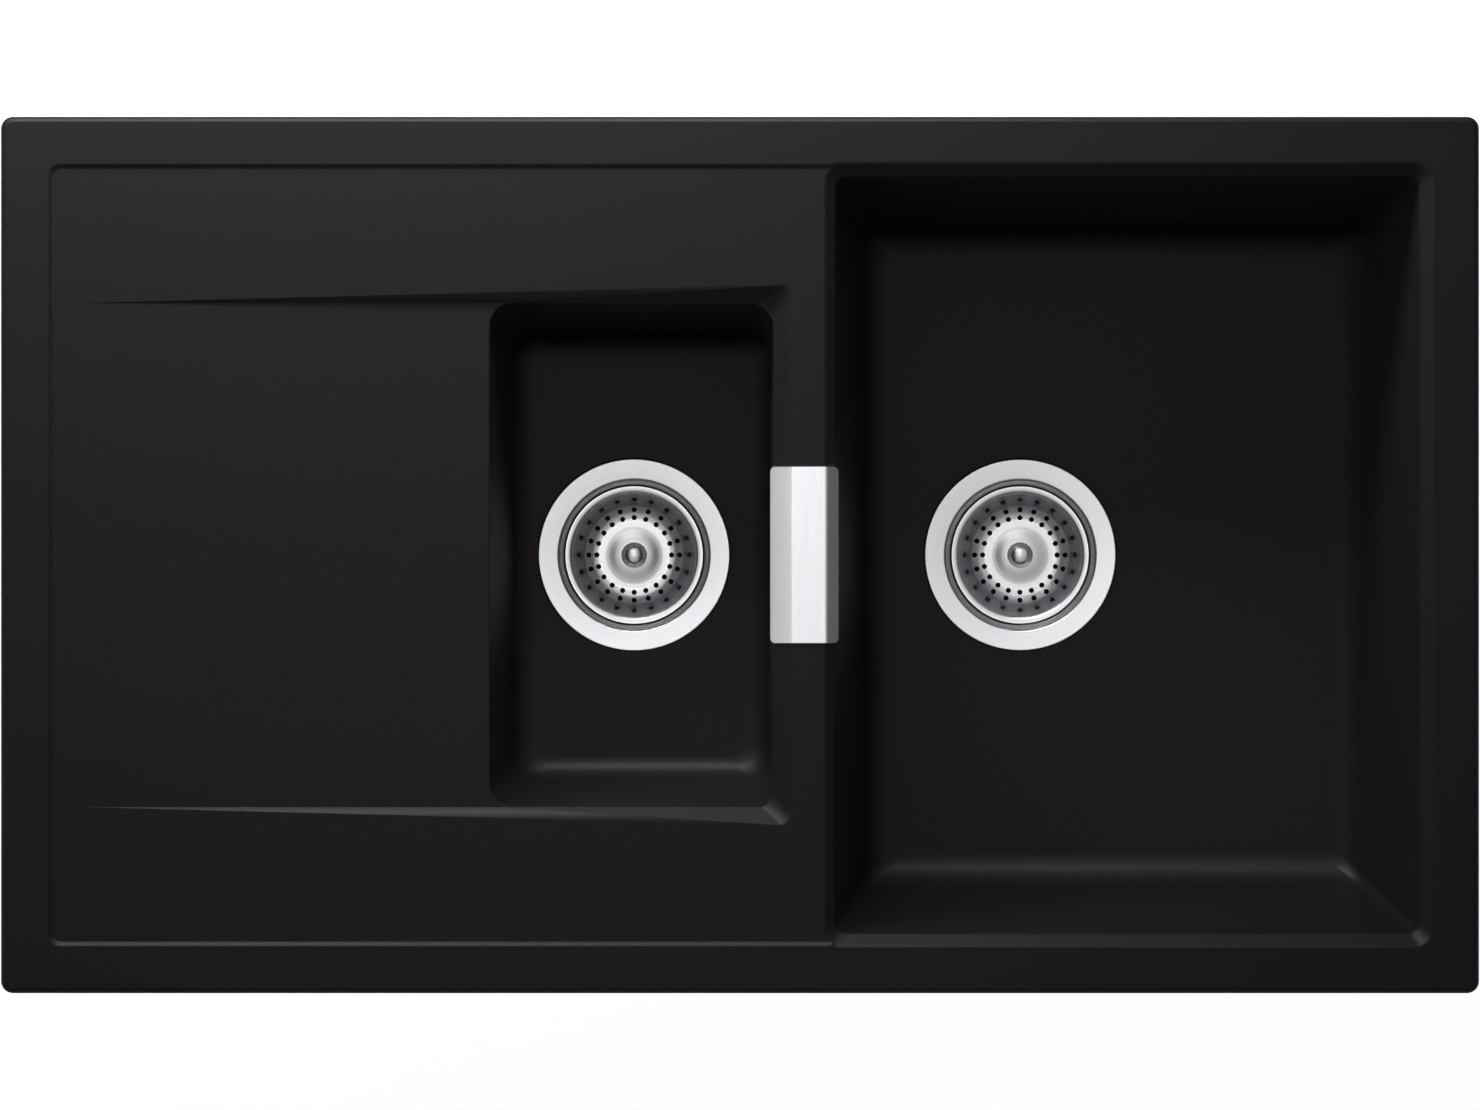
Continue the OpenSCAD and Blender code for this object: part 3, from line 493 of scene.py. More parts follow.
class SINK_OT_moulding(bpy.types.Operator):
    """Model the composite moulding: rim, drainer, sloping panel, divider and both bowls"""

    bl_idname = "sink.moulding"
    bl_label = "Moulding"

    def execute(self, context):
        sizes = context.scene.sink_moulding
        self.read_places(sizes)
        body = self.rim(sizes)
        for solid in self.shells(sizes):
            combine(body, solid, "UNION")
        for hollow in self.hollows(sizes, context.scene.sink_waste):
            combine(body, hollow)
        close_seams(body, mm(0.03), outward=False)
        self.soft_edges(body, sizes)
        smooth(body, angle=40)
        material = quartz_composite(context.scene.sink_finish)
        settle(body, "sink", "granite", material, "rim_and_drainer", "main_bowl", "small_bowl")
        return {"FINISHED"}

    def read_places(self, sizes):
        """Places of the two mouths, each (left, right, half width, top), worked out from the frame."""
        wall = sizes.wall
        self.band_x = RIM_HIGH.x - sizes.band
        self.band_y = RIM_HIGH.y - sizes.band
        self.main = (MAIN_LOW.x + wall, MAIN_HIGH.x - wall, MAIN_HIGH.y - wall, -sizes.bevel)
        self.main_edge = self.main[0] - sizes.bevel + sizes.step_drop
        small_right = self.main_edge - sizes.divider
        small_left = small_right - sizes.small_length
        self.small = (small_left, small_right, sizes.small_width / 2, -sizes.step_drop - sizes.panel_fall)
        self.panel_left = RIM_LOW.x + sizes.panel_in
        self.facet_x = small_right + sizes.panel_fall

    def rim(self, sizes):
        """The rim slab with its rounded top edge."""
        ring = (RIM_LOW.x, RIM_HIGH.x, RIM_HIGH.y, RIM_LOW.z, sizes.corner_radius)
        slab = ring_block("composite_sink", [ring, (*ring[:3], 0, ring[4])], segments=10)
        near = mm(0.1)
        lower_round = mm(0.8)
        soften(slab, sizes.edge_round, 6, lambda e: min(v.co.z for v in e.verts) > -near)
        soften(slab, lower_round, 2, lambda e: max(v.co.z for v in e.verts) < RIM_LOW.z + near)
        return slab

    def bowls(self, sizes):
        """Each bowl's name, mouth, leans, fillet, depth and corner radius."""
        main_leans = (sizes.main_left, sizes.main_right, sizes.main_ends)
        small_leans = (sizes.small_left, sizes.small_right, sizes.small_ends)
        yield "main", self.main, main_leans, sizes.main_fillet, -WASTES["main"][1], sizes.main_radius
        yield "small", self.small, small_leans, sizes.small_fillet, -WASTES["small"][1], sizes.small_radius

    def shells(self, sizes):
        """The solids that the bowls and the overflow are hollowed from, and the panel's thick underside."""
        overlap = mm(1)
        wall = sizes.wall
        top = RIM_LOW.z + overlap
        for name, mouth, leans, fillet, depth, radius in self.bowls(sizes):
            left, right, half, _ = mouth
            start = (left - wall, right + wall, half + wall, top, radius + wall)
            rings = [start, *bowl_rings(mouth, leans, fillet, depth, radius, wall, sizes.floor)]
            yield ring_block(name, rings, segments=8)
        left = self.small[1] + wall / 2
        right = self.main[0] - wall / 4
        half = sizes.web_half
        low = RIM_LOW.z - sizes.web_drop
        yield block("web", left, right, -half, half, low, top, rounding=mm(2), segments=3)
        half = self.small[2] + sizes.panel_fall + sizes.step_drop
        low = self.small[3] - sizes.panel_thickness
        under = block("underside", self.panel_left, self.facet_x + overlap, -half, half, low, top)
        slope = (RIM_LOW.z - low) / (self.small[1] - self.panel_left)
        high_end = (self.panel_left, 0, RIM_LOW.z)
        edit(under)
        pick_all()
        bpy.ops.mesh.bisect(plane_co=high_end, plane_no=(-slope, 0, -1), use_fill=True, clear_outer=True)
        leave()
        yield under

    def hollows(self, sizes, waste):
        """The solids that are cut away. Each reaches past the surface that it opens."""
        over = mm(1)
        yield self.step(sizes)
        yield self.panel(sizes, over)
        for name, mouth, leans, fillet, depth, radius in self.bowls(sizes):
            left, right, half, _ = mouth
            wide = sizes.bevel + over if name == "main" else 0
            start = (left - wide, right + wide, half + wide, over, radius + wide / 2)
            rings = [start, (*mouth, radius), *bowl_rings(mouth, leans, fillet, depth, radius)]
            yield ring_block(name, rings, segments=8)
        for _, centre in waste_places():
            yield turned("seat", self.seat(sizes, waste, over), centre, steps=128, closed=False)
        left = self.small[1] - sizes.slot_over
        right = self.main[0] + sizes.slot_over
        half = sizes.slot_length / 2
        yield block("slot", left, right, -half, half, -sizes.slot_depth, over, rounding=mm(0.8))
        low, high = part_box("overflow_inserts")
        middle = (low.x + high.x) / 2
        radius = (high.x - low.x) / 2
        yield rod("channel", (middle, 0), sizes.channel_radius, low.z - over, over - sizes.slot_depth)
        screws = [(middle, y) for y in (low.y + radius, high.y - radius)]
        yield self.insert_holes(screws, radius, low.z - over, high.z)
        low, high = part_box("rim_inserts")
        radius = high.x - pivots()[-1][0]
        yield self.insert_holes(pivots(), radius, low.z - over, high.z)

    def seat(self, sizes, waste, over):
        """The hole for a waste in section, with the flange's seat and the lip's slant above it."""
        lip = mm(0.6)
        play = mm(0.3)
        radius = waste.flange_radius + play
        through = -sizes.floor - over
        return [
            (0, over),
            (radius + lip + over, over),
            (radius, -lip),
            (radius, -waste.seat_drop),
            (waste.hole_radius, -waste.seat_drop),
            (waste.hole_radius, through),
            (0, through),
        ]

    def insert_holes(self, centres, radius, low, high):
        """Blind holes for inserts, one round each centre between two heights."""
        return join([rod("insert", centre, radius, low, high, vertices=32) for centre in centres])

    def step(self, sizes):
        """The drainer's shallow step, which runs into the main bowl's mouth."""
        rise = mm(0.05)
        count = 8
        end = self.main_edge + sizes.bevel
        rings = []
        for i in range(count + 1):
            share = i / count
            inset = sizes.step_run * share
            height = rise - (sizes.step_drop + rise) * share * share * (3 - 2 * share)
            radius = sizes.step_radius + sizes.step_run / 2 * (1 - share)
            rings.append((inset - self.band_x, end, self.band_y - inset, height, radius))
        left, right, half, height, radius = rings[0]
        return ring_block("step", [(left, right, half, height + sizes.step_drop, radius), *rings])

    def panel(self, sizes, over):
        """The sloping panel: a wedge with bevelled sides that widen towards the small bowl."""
        half = self.small[2]
        wide = (half + sizes.panel_fall) / half
        fall = sizes.panel_fall
        wedge = plane("panel", self.panel_left, self.facet_x, -half, half, over - sizes.step_drop)
        pick("verts", lambda v: v.co.x > 0)
        bpy.ops.transform.resize(value=(1, wide, 1), center_override=(0, 0, 0))
        pick_all()
        extrude((0, 0, -over))
        extrude((0, 0, -fall))
        low = -sizes.step_drop - fall / 2
        pick("verts", lambda v: v.co.z < low and v.co.x < 0)
        bpy.ops.transform.translate(value=(0, 0, fall))
        pick("verts", lambda v: v.co.z < low)
        bpy.ops.transform.translate(value=(-fall, 0, 0))
        bpy.ops.transform.resize(value=(1, 1 / wide, 1), center_override=(0, 0, 0))
        leave()
        close_seams(wedge)
        near = self.small[1] - mm(0.1)

        def mitre(edge):
            rise = abs(edge.verts[0].co.z - edge.verts[1].co.z)
            return min(v.co.x for v in edge.verts) > near and fold(edge) > 20 and rise > mm(0.5)

        soften(wedge, sizes.panel_mitre, 4, mitre)
        return wedge

    def soft_edges(self, body, sizes):
        """Rounds the main mouth's, the low facet's and the small mouth's upper edges."""
        near = mm(0.3)
        lowest = -mm(16)
        by_slot = sizes.slot_length / 2 + near
        past_slot = mm(80)
        small_left, small_right = self.small[:2]
        panel_top = -sizes.step_drop - near

        def upper(edge):
            a, b = (v.co for v in edge.verts)
            tilts = [face.normal.z for face in edge.link_faces]
            far_x = max(abs(a.x), abs(b.x))
            far_y = max(abs(a.y), abs(b.y))
            level = abs(a.z - b.z) < 0.1 * (a - b).length
            on_top = min(tilts) > -0.01 and max(tilts) > 0.5 and min(a.z, b.z) > lowest
            inside = far_x < self.band_x + near and far_y < self.band_y + near
            clear = far_y > by_slot or min(a.x, b.x) < small_right - sizes.slot_over or a.x > past_slot
            return level and on_top and inside and clear and edge.is_convex and fold(edge) > 25

        def reach(edge):
            low, high = sorted(v.co.x for v in edge.verts)
            return low, high, min(v.co.z for v in edge.verts)

        def main_mouth(edge):
            return upper(edge) and reach(edge)[0] > self.main_edge - near

        def low_facet(edge):
            left, right, low = reach(edge)
            between = left > small_right + near and right < self.main_edge - near
            return upper(edge) and between and low > panel_top

        def small_mouth(edge):
            left, right, _ = reach(edge)
            return upper(edge) and left > small_left - near and right < small_left + sizes.small_radius + near

        for test in (main_mouth, low_facet, small_mouth):
            soften(body, sizes.soft_edge, 3, test)


# The wastes


def circle(centre, radius, count):
    """Plan places spread evenly round a centre, the first of them at its right."""
    turns = [math.tau * i / count for i in range(count)]
    return [(centre[0] + radius * math.cos(a), centre[1] + radius * math.sin(a)) for a in turns]


class SINK_OT_strainers(bpy.types.Operator):
    """Model the two strainers: a wide flange with a pot below it"""

    bl_idname = "sink.strainers"
    bl_label = "Strainers"

    def execute(self, context):
        waste = context.scene.sink_waste
        outline = self.section(waste)
        for name, centre in waste_places():
            pot = turned(f"{name}_strainer", outline, centre, steps=128, closed=False)
            combine(pot, self.ports(centre, centre[2] - waste.pot_depth))
            smooth(pot, angle=30)
            material = spun_steel(context.scene.sink_finish, f"{name}_spun_steel", centre)
            settle(pot, "sink", "steel", material, f"{name}_strainer_pot")
        return {"FINISHED"}

    def section(self, waste):
        """The sheet in section: out under the pot and flange, and back along their upper side."""
        sheet = waste.sheet
        floor = mm(31)
        shoulder = mm(3)
        step = mm(6.5)
        taper = mm(9)
        dish = mm(0.6)
        return rounded([
            (0, -waste.pot_depth - sheet),
            (floor + sheet, -waste.pot_depth - sheet, mm(3)),
            (waste.pot_radius + sheet, taper - waste.pot_depth, mm(3)),
            (waste.pot_radius + sheet, -step, mm(0.6)),
            (waste.mouth_radius + mm(0.6), -shoulder, mm(0.6)),
            (waste.mouth_radius + sheet, -waste.flange_thickness, mm(0.3)),
            (waste.flange_radius, -waste.flange_thickness, mm(0.2)),
            (waste.flange_radius - mm(0.1), -mm(0.05), mm(0.7)),
            (waste.mouth_radius, -dish, mm(0.9)),
            (waste.mouth_radius - mm(0.3), -shoulder, mm(0.8)),
            (waste.pot_radius, -step, mm(0.9)),
            (waste.pot_radius, taper - waste.pot_depth, mm(3)),
            (floor, -waste.pot_depth, mm(3)),
            (0, -waste.pot_depth),
        ])

    def ports(self, centre, floor):
        """The solids that cut six ports and the bolt's hole through the pot's floor."""
        ring = mm(19)
        port = mm(6.5)
        bolt = mm(4.1)
        low = floor - mm(2)
        high = floor + mm(1)
        holes = [rod("port", place, port, low, high, vertices=40) for place in circle(centre, ring, 6)]
        return join([*holes, rod("port", centre, bolt, low, high, vertices=40)])


def thickened(line, thickness):
    """A closed outline: a line, and the same line moved to its left by a thickness, backwards."""
    moved = []
    for i, here in enumerate(line):
        before = line[max(i - 1, 0)]
        after = line[min(i + 1, len(line) - 1)]
        along = (after - before).normalized()
        moved.append(here + Vector((-along.y, along.x)) * thickness)
    return [*line, *reversed(moved)]


class SINK_OT_baskets(bpy.types.Operator):
    """Model the two lift-out baskets: a pressed bowl with three rings of holes"""

    bl_idname = "sink.baskets"
    bl_label = "Baskets"

    def execute(self, context):
        waste = context.scene.sink_waste
        rim = waste.basket_radius - waste.basket_lip
        floor = -mm(29)
        outline = thickened(self.section(waste, rim, floor), waste.basket_sheet)
        rings = (rim - mm(4.8), rim - mm(10.3), rim - mm(15))
        over = mm(1)
        for name, centre in waste_places():
            basket = turned(f"{name}_basket_bowl", outline, centre, steps=120)
            low = centre[2] + floor - over
            high = centre[2] - waste.basket_sink + over
            places = [place for ring in rings for place in circle(centre, ring, 20)]
            first = rod("hole", places[0], waste.drain_radius, low, high, vertices=14)
            others = [self.moved_hole(first, places[0], place) for place in places[1:]]
            combine(basket, join([first, *others]))
            smooth(basket, angle=30)
            material = spun_steel(context.scene.sink_finish, f"{name}_spun_steel", centre)
            settle(basket, f"{name}_lift_out_basket", "steel", material, f"{name}_basket")
        return {"FINISHED"}

    def section(self, waste, rim, floor):
        """The sheet's underside in section, from the stem's hole over the raised middle to the rim."""
        stem_hole = mm(3.05)
        raised = floor + mm(1.5)
        return rounded([
            (stem_hole, raised),
            (mm(9.5), raised, mm(2)),
            (mm(15.5), floor, mm(2)),
            (rim - mm(13.7), floor, mm(2.2)),
            (rim - mm(7.7), floor + mm(3.2), mm(3)),
            (rim - mm(2.9), -waste.basket_sink - mm(9), mm(3)),
            (rim - mm(1.4), -waste.basket_sink - mm(5), mm(2)),
            (rim, -waste.basket_sink, mm(1.6)),
            (waste.basket_radius, -waste.basket_sink),
        ])

    def moved_hole(self, first, start, place):
        """A copy of the first hole with its own mesh, moved from the first place to another."""
        hole = first.copy()
        hole.data = first.data.copy()
        bpy.context.collection.objects.link(hole)
        hole.location = Vector((*place, 0)) - Vector((*start, 0))
        return hole


class SINK_OT_knobs(bpy.types.Operator):
    """Model the baskets' two ball knobs"""

    bl_idname = "sink.knobs"
    bl_label = "Knobs"

    def execute(self, context):
        outline = self.section(context.scene.sink_waste)
        for name, centre in waste_places():
            knob = turned(f"{name}_ball_knob", outline, centre, steps=64, closed=False)
            smooth(knob, angle=40)
            material = satin_chrome(context.scene.sink_finish)
            settle(knob, f"{name}_lift_out_basket", "chrome", material, f"{name}_basket_knob")
        return {"FINISHED"}

    def section(self, waste):
        """The slightly flattened ball in section, then its tapered neck and the recess in its foot."""
        steps = 20
        top = math.pi / 2
        bottom = -math.pi / 6
        rise = mm(5.6)
        middle = waste.knob_radius - waste.knob_drop - rise
        turns = [top + (bottom - top) * i / steps for i in range(steps + 1)]
        ball = [(waste.knob_radius * math.cos(a), rise * math.sin(a) + middle) for a in turns]
        ball[0] = (0, ball[0][1])
        neck_top = mm(4.6)
        neck_foot = mm(4.1)
        foot = -waste.knob_drop - waste.knob_radius / 2
        recess = foot + mm(1)
        neck = [(neck_top, ball[-1][1] - mm(0.3)), (neck_foot, foot), (neck_foot, recess), (0, recess)]
        return [*ball, *neck]


# The overflow


class SINK_OT_cover(bpy.types.Operator):
    """Model the folded overflow cover with its two legs"""

    bl_idname = "sink.cover"
    bl_label = "Overflow cover"

    def execute(self, context):
        sheet = mm(1)
        cover = self.plate(sheet)
        for leg in self.legs(context.scene.sink_moulding, sheet):
            combine(cover, leg, "UNION")
        close_seams(cover, outward=False)
        smooth(cover, angle=30)
        settle(cover, "overflow_lid", "steel", brushed_steel(context.scene.sink_finish), "overflow_cover")
        return {"FINISHED"}

    def plate(self, sheet):
        """The sheet over the divider, with a flap folded down at 45 degrees along each side."""
        left_flap = mm(11.76)
        right_flap = mm(7.16)
        corner = mm(3.4)
        fold_round = mm(0.9)
        edge_round = mm(0.25)
        left = COVER_LOW.x + left_flap
        right = COVER_HIGH.x - right_flap
        half = COVER_HIGH.y
        top = COVER_HIGH.z
        cover = plane("overflow_cover_plate", left, right, -half, half, top)
        bpy.ops.mesh.select_mode(type="EDGE")
        for inner, outer in ((left, COVER_LOW.x), (right, COVER_HIGH.x)):
            pick("edges", lambda e: max(abs(v.co.x - inner) for v in e.verts) < mm(0.01))
            extrude((outer - inner, 0, -abs(outer - inner)))
        bpy.ops.mesh.select_mode(type="VERT")
        pick("verts", lambda v: v.co.z < top - mm(1))
        bpy.ops.mesh.bevel(affect="VERTICES", offset=corner, segments=6)
        leave()
        soften(cover, fold_round, 4, lambda e: fold(e) > 20)
        modify(cover, "SOLIDIFY", thickness=sheet, offset=-1, use_even_offset=True)
        soften(cover, edge_round, 2, lambda e: fold(e) > 60)
        return cover

    def legs(self, sizes, sheet):
        """The two strips under the plate that stand in the slot, at its front and rear ends."""
        half_width = mm(7)
        play = mm(0.3)
        top = COVER_HIGH.z - mm(0.6)
        middle = sum(v.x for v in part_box("overflow_inserts")) / 2
        left, right = middle - half_width, middle + half_width
        outer = sizes.slot_length / 2 - play
        for front, rear in ((-outer, sheet - outer), (outer - sheet, outer)):
            yield block("leg", left, right, front, rear, COVER_LOW.z, top, rounding=mm(0.3))


# Everything under the sink keeps its CAD shape, with closed seams and rounded edges.
# Each row gives a node's slot and its rounding in millimetres

FITTINGS = {
    "strap_screws": ("steel", 0.2),
    "strap_washers": ("zinc_steel", 0.15),
    "rim_inserts": ("brass", 0.2),
    "overflow_inserts": ("brass", 0.2),
    "overflow_screws": ("steel", 0.2),
    "overflow_gasket": ("black_rubber", 0.3),
    "overflow_housing": ("white_plastic", 0.5),
    "overflow_hose": ("black_rubber", 0.2),
    "hose_clips": ("zinc_steel", 0.2),
    "small_elbow": ("white_plastic", 0.4),
    "cross_pipe": ("white_plastic", 0.4),
    "outlet_tee": ("white_plastic", 0.4),
    "union_nuts": ("white_plastic", 0.6),
    "union_washers": ("black_rubber", 0.2),
}
WASTE_FITTINGS = {
    "flange_seal": ("black_rubber", 0.2),
    "body_gasket": ("black_rubber", 0.3),
    "waste_body": ("white_plastic", 0.6),
    "centre_bolt": ("steel", 0.3),
    "bolt_insert": ("brass", 0.2),
    "basket_stem": ("steel", 0.3),
    "basket_seal": ("black_rubber", 0.6),
}


class SINK_OT_fittings(bpy.types.Operator):
    """Finish the straps, screws, seals, waste bodies and pipes"""

    bl_idname = "sink.fittings"
    bl_label = "Fittings"

    def execute(self, context):
        finish = context.scene.sink_finish
        materials = {
            "steel": turned_steel(finish),
            "zinc_steel": zinc_plate(finish),
            "brass": turned_brass(finish),
            "black_rubber": moulded_rubber(finish),
            "white_plastic": moulded_polypropylene(finish),
        }
        rows = [(name, "sink", *row) for name, row in FITTINGS.items()]
        rows += [(name, f"{name}_arm", "zinc_steel", 0.3) for name in STRAPS]
        for waste in WASTES:
            for fitting, row in WASTE_FITTINGS.items():
                body = f"{waste}_lift_out_basket" if fitting.startswith("basket_") else "sink"
                rows.append((f"{waste}_{fitting}", body, *row))
        for name, body, slot, rounding in rows:
            piece = refined(name, f"{name}_finished", rounding)
            settle(piece, body, slot, materials[slot], name)
        return {"FINISHED"}


# Materials. Patterns are in real millimetres on Object coordinates


def node(tree, kind, inputs=None, **settings):
    """Adds a node with its settings. An input is a constant, or a socket to link from."""
    made = tree.nodes.new(kind)
    for name, value in settings.items():
        setattr(made, name, value)
    for name, value in (inputs or {}).items():
        if isinstance(value, bpy.types.NodeSocket):
            tree.links.new(value, made.inputs[name])
        else:
            made.inputs[name].default_value = value
    return made


def surface(name, **constants):
    """A new material, its tree and the Object coordinates."""
    material = bpy.data.materials.new(name)
    material.use_nodes = True
    tree = material.node_tree
    for socket, value in constants.items():
        tree.nodes["Principled BSDF"].inputs[socket.replace("_", " ")].default_value = value
    place = node(tree, "ShaderNodeTexCoord").outputs["Object"]
    return material, tree, place


def patterned(tree, colour, roughness, relief=None):
    """Varies a surface by patterns, each given by its socket first.

    The colour goes from a dark to a light share of one colour, and the roughness from low to high.
    A relief raises its pattern by a depth in metres, at a strength.
    """
    shader = tree.nodes["Principled BSDF"]
    start, end = 0.3, 0.7
    pattern, middle, dark, light = colour
    ramp = node(tree, "ShaderNodeValToRGB", {"Fac": pattern})
    for element, position, share in zip(ramp.color_ramp.elements, (start, end), (dark, light)):
        element.position = position
        element.color = (*(min(1, c * share) for c in middle), 1)
    tree.links.new(ramp.outputs["Color"], shader.inputs["Base Color"])
    pattern, low, high = roughness
    spread = {"From Min": start, "From Max": end, "To Min": low, "To Max": high}
    dulled = node(tree, "ShaderNodeMapRange", {"Value": pattern, **spread})
    tree.links.new(dulled.outputs["Result"], shader.inputs["Roughness"])
    if relief:
        pattern, depth, strength = relief
        raised = node(tree, "ShaderNodeBump", {"Height": pattern, "Distance": depth, "Strength": strength})
        tree.links.new(raised.outputs["Normal"], shader.inputs["Normal"])


def quartz_composite(finish):
    """Quartz grains in acrylic resin, cast in a mould: near black and matte, with grains that just show."""
    material, tree, place = surface("quartz_composite", Roughness=0.5, Specular_IOR_Level=0.05)
    grain = {"Vector": place, "Scale": 1 / mm(0.9), "Detail": 3}
    grains = node(tree, "ShaderNodeTexNoise", grain).outputs["Fac"]
    skin = {"Vector": place, "Scale": 1 / mm(1.6), "Detail": 2}
    gloss = node(tree, "ShaderNodeTexNoise", skin).outputs["Fac"]
    patterned(tree, (grains, finish.granite, 0.82, 1.2), (gloss, 0.44, 0.56), (grains, mm(0.05), 0.5))
    return material


def spun_steel(finish, name, centre):
    """Stainless sheet, pressed and spun satin: fine rings round the waste's axis."""
    if name in bpy.data.materials:
        return bpy.data.materials[name]
    material, tree, place = surface(name, Metallic=1.0, Roughness=0.3)
    to_axis = {"Vector": place, "Location": tuple(-c for c in centre)}
    moved = node(tree, "ShaderNodeMapping", to_axis).outputs["Vector"]
    flat = node(tree, "ShaderNodeVectorMath", {0: moved, 1: (1, 1, 0)}, operation="MULTIPLY")
    radius = node(tree, "ShaderNodeVectorMath", {0: flat.outputs["Vector"]}, operation="LENGTH")
    ring = {"W": radius.outputs["Value"], "Scale": 1 / mm(0.6), "Detail": 3}
    rings = node(tree, "ShaderNodeTexNoise", ring, noise_dimensions="1D").outputs["Fac"]
    patterned(tree, (rings, finish.steel, 0.96, 1.03), (rings, 0.27, 0.33), (rings, mm(0.01), 0.3))
    return material


def brushed_steel(finish):
    """Stainless sheet, brushed along its length: fine lines from front to rear."""
    material, tree, place = surface("brushed_steel", Metallic=1.0, Roughness=0.31)
    along = node(tree, "ShaderNodeMapping", {"Vector": place, "Scale": (1, 0.02, 1)}).outputs["Vector"]
    line = {"Vector": along, "Scale": 1 / mm(0.4), "Detail": 4}
    lines = node(tree, "ShaderNodeTexNoise", line).outputs["Fac"]
    patterned(tree, (lines, finish.steel, 0.98, 1.02), (lines, 0.28, 0.34), (lines, mm(0.006), 0.15))
    return material


def satin_chrome(finish):
    """Chrome plate on brass, satin, with a faint haze from wiping."""
    if "satin_chrome" in bpy.data.materials:
        return bpy.data.materials["satin_chrome"]
    material, tree, place = surface("satin_chrome", Metallic=1.0, Roughness=0.3)
    smear = {"Vector": place, "Scale": 1 / mm(3), "Detail": 3}
    haze = node(tree, "ShaderNodeTexNoise", smear).outputs["Fac"]
    patterned(tree, (haze, finish.chrome, 0.98, 1.02), (haze, 0.28, 0.33))
    return material


def turned_steel(finish):
    """Stainless bar, turned: faintly mottled by tool marks, a little duller than sheet."""
    material, tree, place = surface("turned_steel", Metallic=1.0, Roughness=0.3)
    mark = {"Vector": place, "Scale": 1 / mm(0.5), "Detail": 3}
    marks = node(tree, "ShaderNodeTexNoise", mark).outputs["Fac"]
    patterned(tree, (marks, finish.steel, 0.92, 1.03), (marks, 0.26, 0.36))
    return material


def zinc_plate(finish):
    """Steel strip with bright zinc plating: grey, with soft cloudy patches."""
    material, tree, place = surface("zinc_plate", Metallic=1.0, Roughness=0.4)
    cloud = {"Vector": place, "Scale": 1 / mm(5), "Detail": 4, "Roughness": 0.6}
    clouds = node(tree, "ShaderNodeTexNoise", cloud).outputs["Fac"]
    crystal = {"Vector": place, "Scale": 1 / mm(0.8), "Detail": 2}
    crystals = node(tree, "ShaderNodeTexNoise", crystal).outputs["Fac"]
    patterned(tree, (clouds, finish.zinc, 0.85, 1.08), (clouds, 0.34, 0.48), (crystals, mm(0.02), 0.3))
    return material


def turned_brass(finish):
    """Brass, turned and knurled, slightly tarnished."""
    material, tree, place = surface("turned_brass", Metallic=1.0, Roughness=0.32)
    stain = {"Vector": place, "Scale": 1 / mm(1.5), "Detail": 3}
    stains = node(tree, "ShaderNodeTexNoise", stain).outputs["Fac"]
    patterned(tree, (stains, finish.brass, 0.85, 1.05), (stains, 0.26, 0.42))
    return material


def moulded_rubber(finish):
    """Black rubber, pressed in a mould: matte, with a fine dusty grain."""
    material, tree, place = surface("moulded_rubber", Roughness=0.7, Specular_IOR_Level=0.35)
    dust = {"Vector": place, "Scale": 1 / mm(0.7), "Detail": 3}
    grain = node(tree, "ShaderNodeTexNoise", dust).outputs["Fac"]
    patterned(tree, (grain, finish.rubber, 0.85, 1.3), (grain, 0.62, 0.8), (grain, mm(0.03), 0.5))
    return material


def moulded_polypropylene(finish):
    """White polypropylene, injection moulded: waxy, with a faint orange peel."""
    material, tree, place = surface("moulded_polypropylene", Roughness=0.38, Specular_IOR_Level=0.5)
    shade = {"Vector": place, "Scale": 1 / mm(30), "Detail": 3}
    shades = node(tree, "ShaderNodeTexNoise", shade).outputs["Fac"]
    dimple = {"Vector": place, "Scale": 1 / mm(2.2), "Detail": 2}
    peel = node(tree, "ShaderNodeTexNoise", dimple).outputs["Fac"]
    patterned(tree, (shades, finish.plastic, 0.97, 1.01), (peel, 0.34, 0.44), (peel, mm(0.03), 0.4))
    return material


# The stage


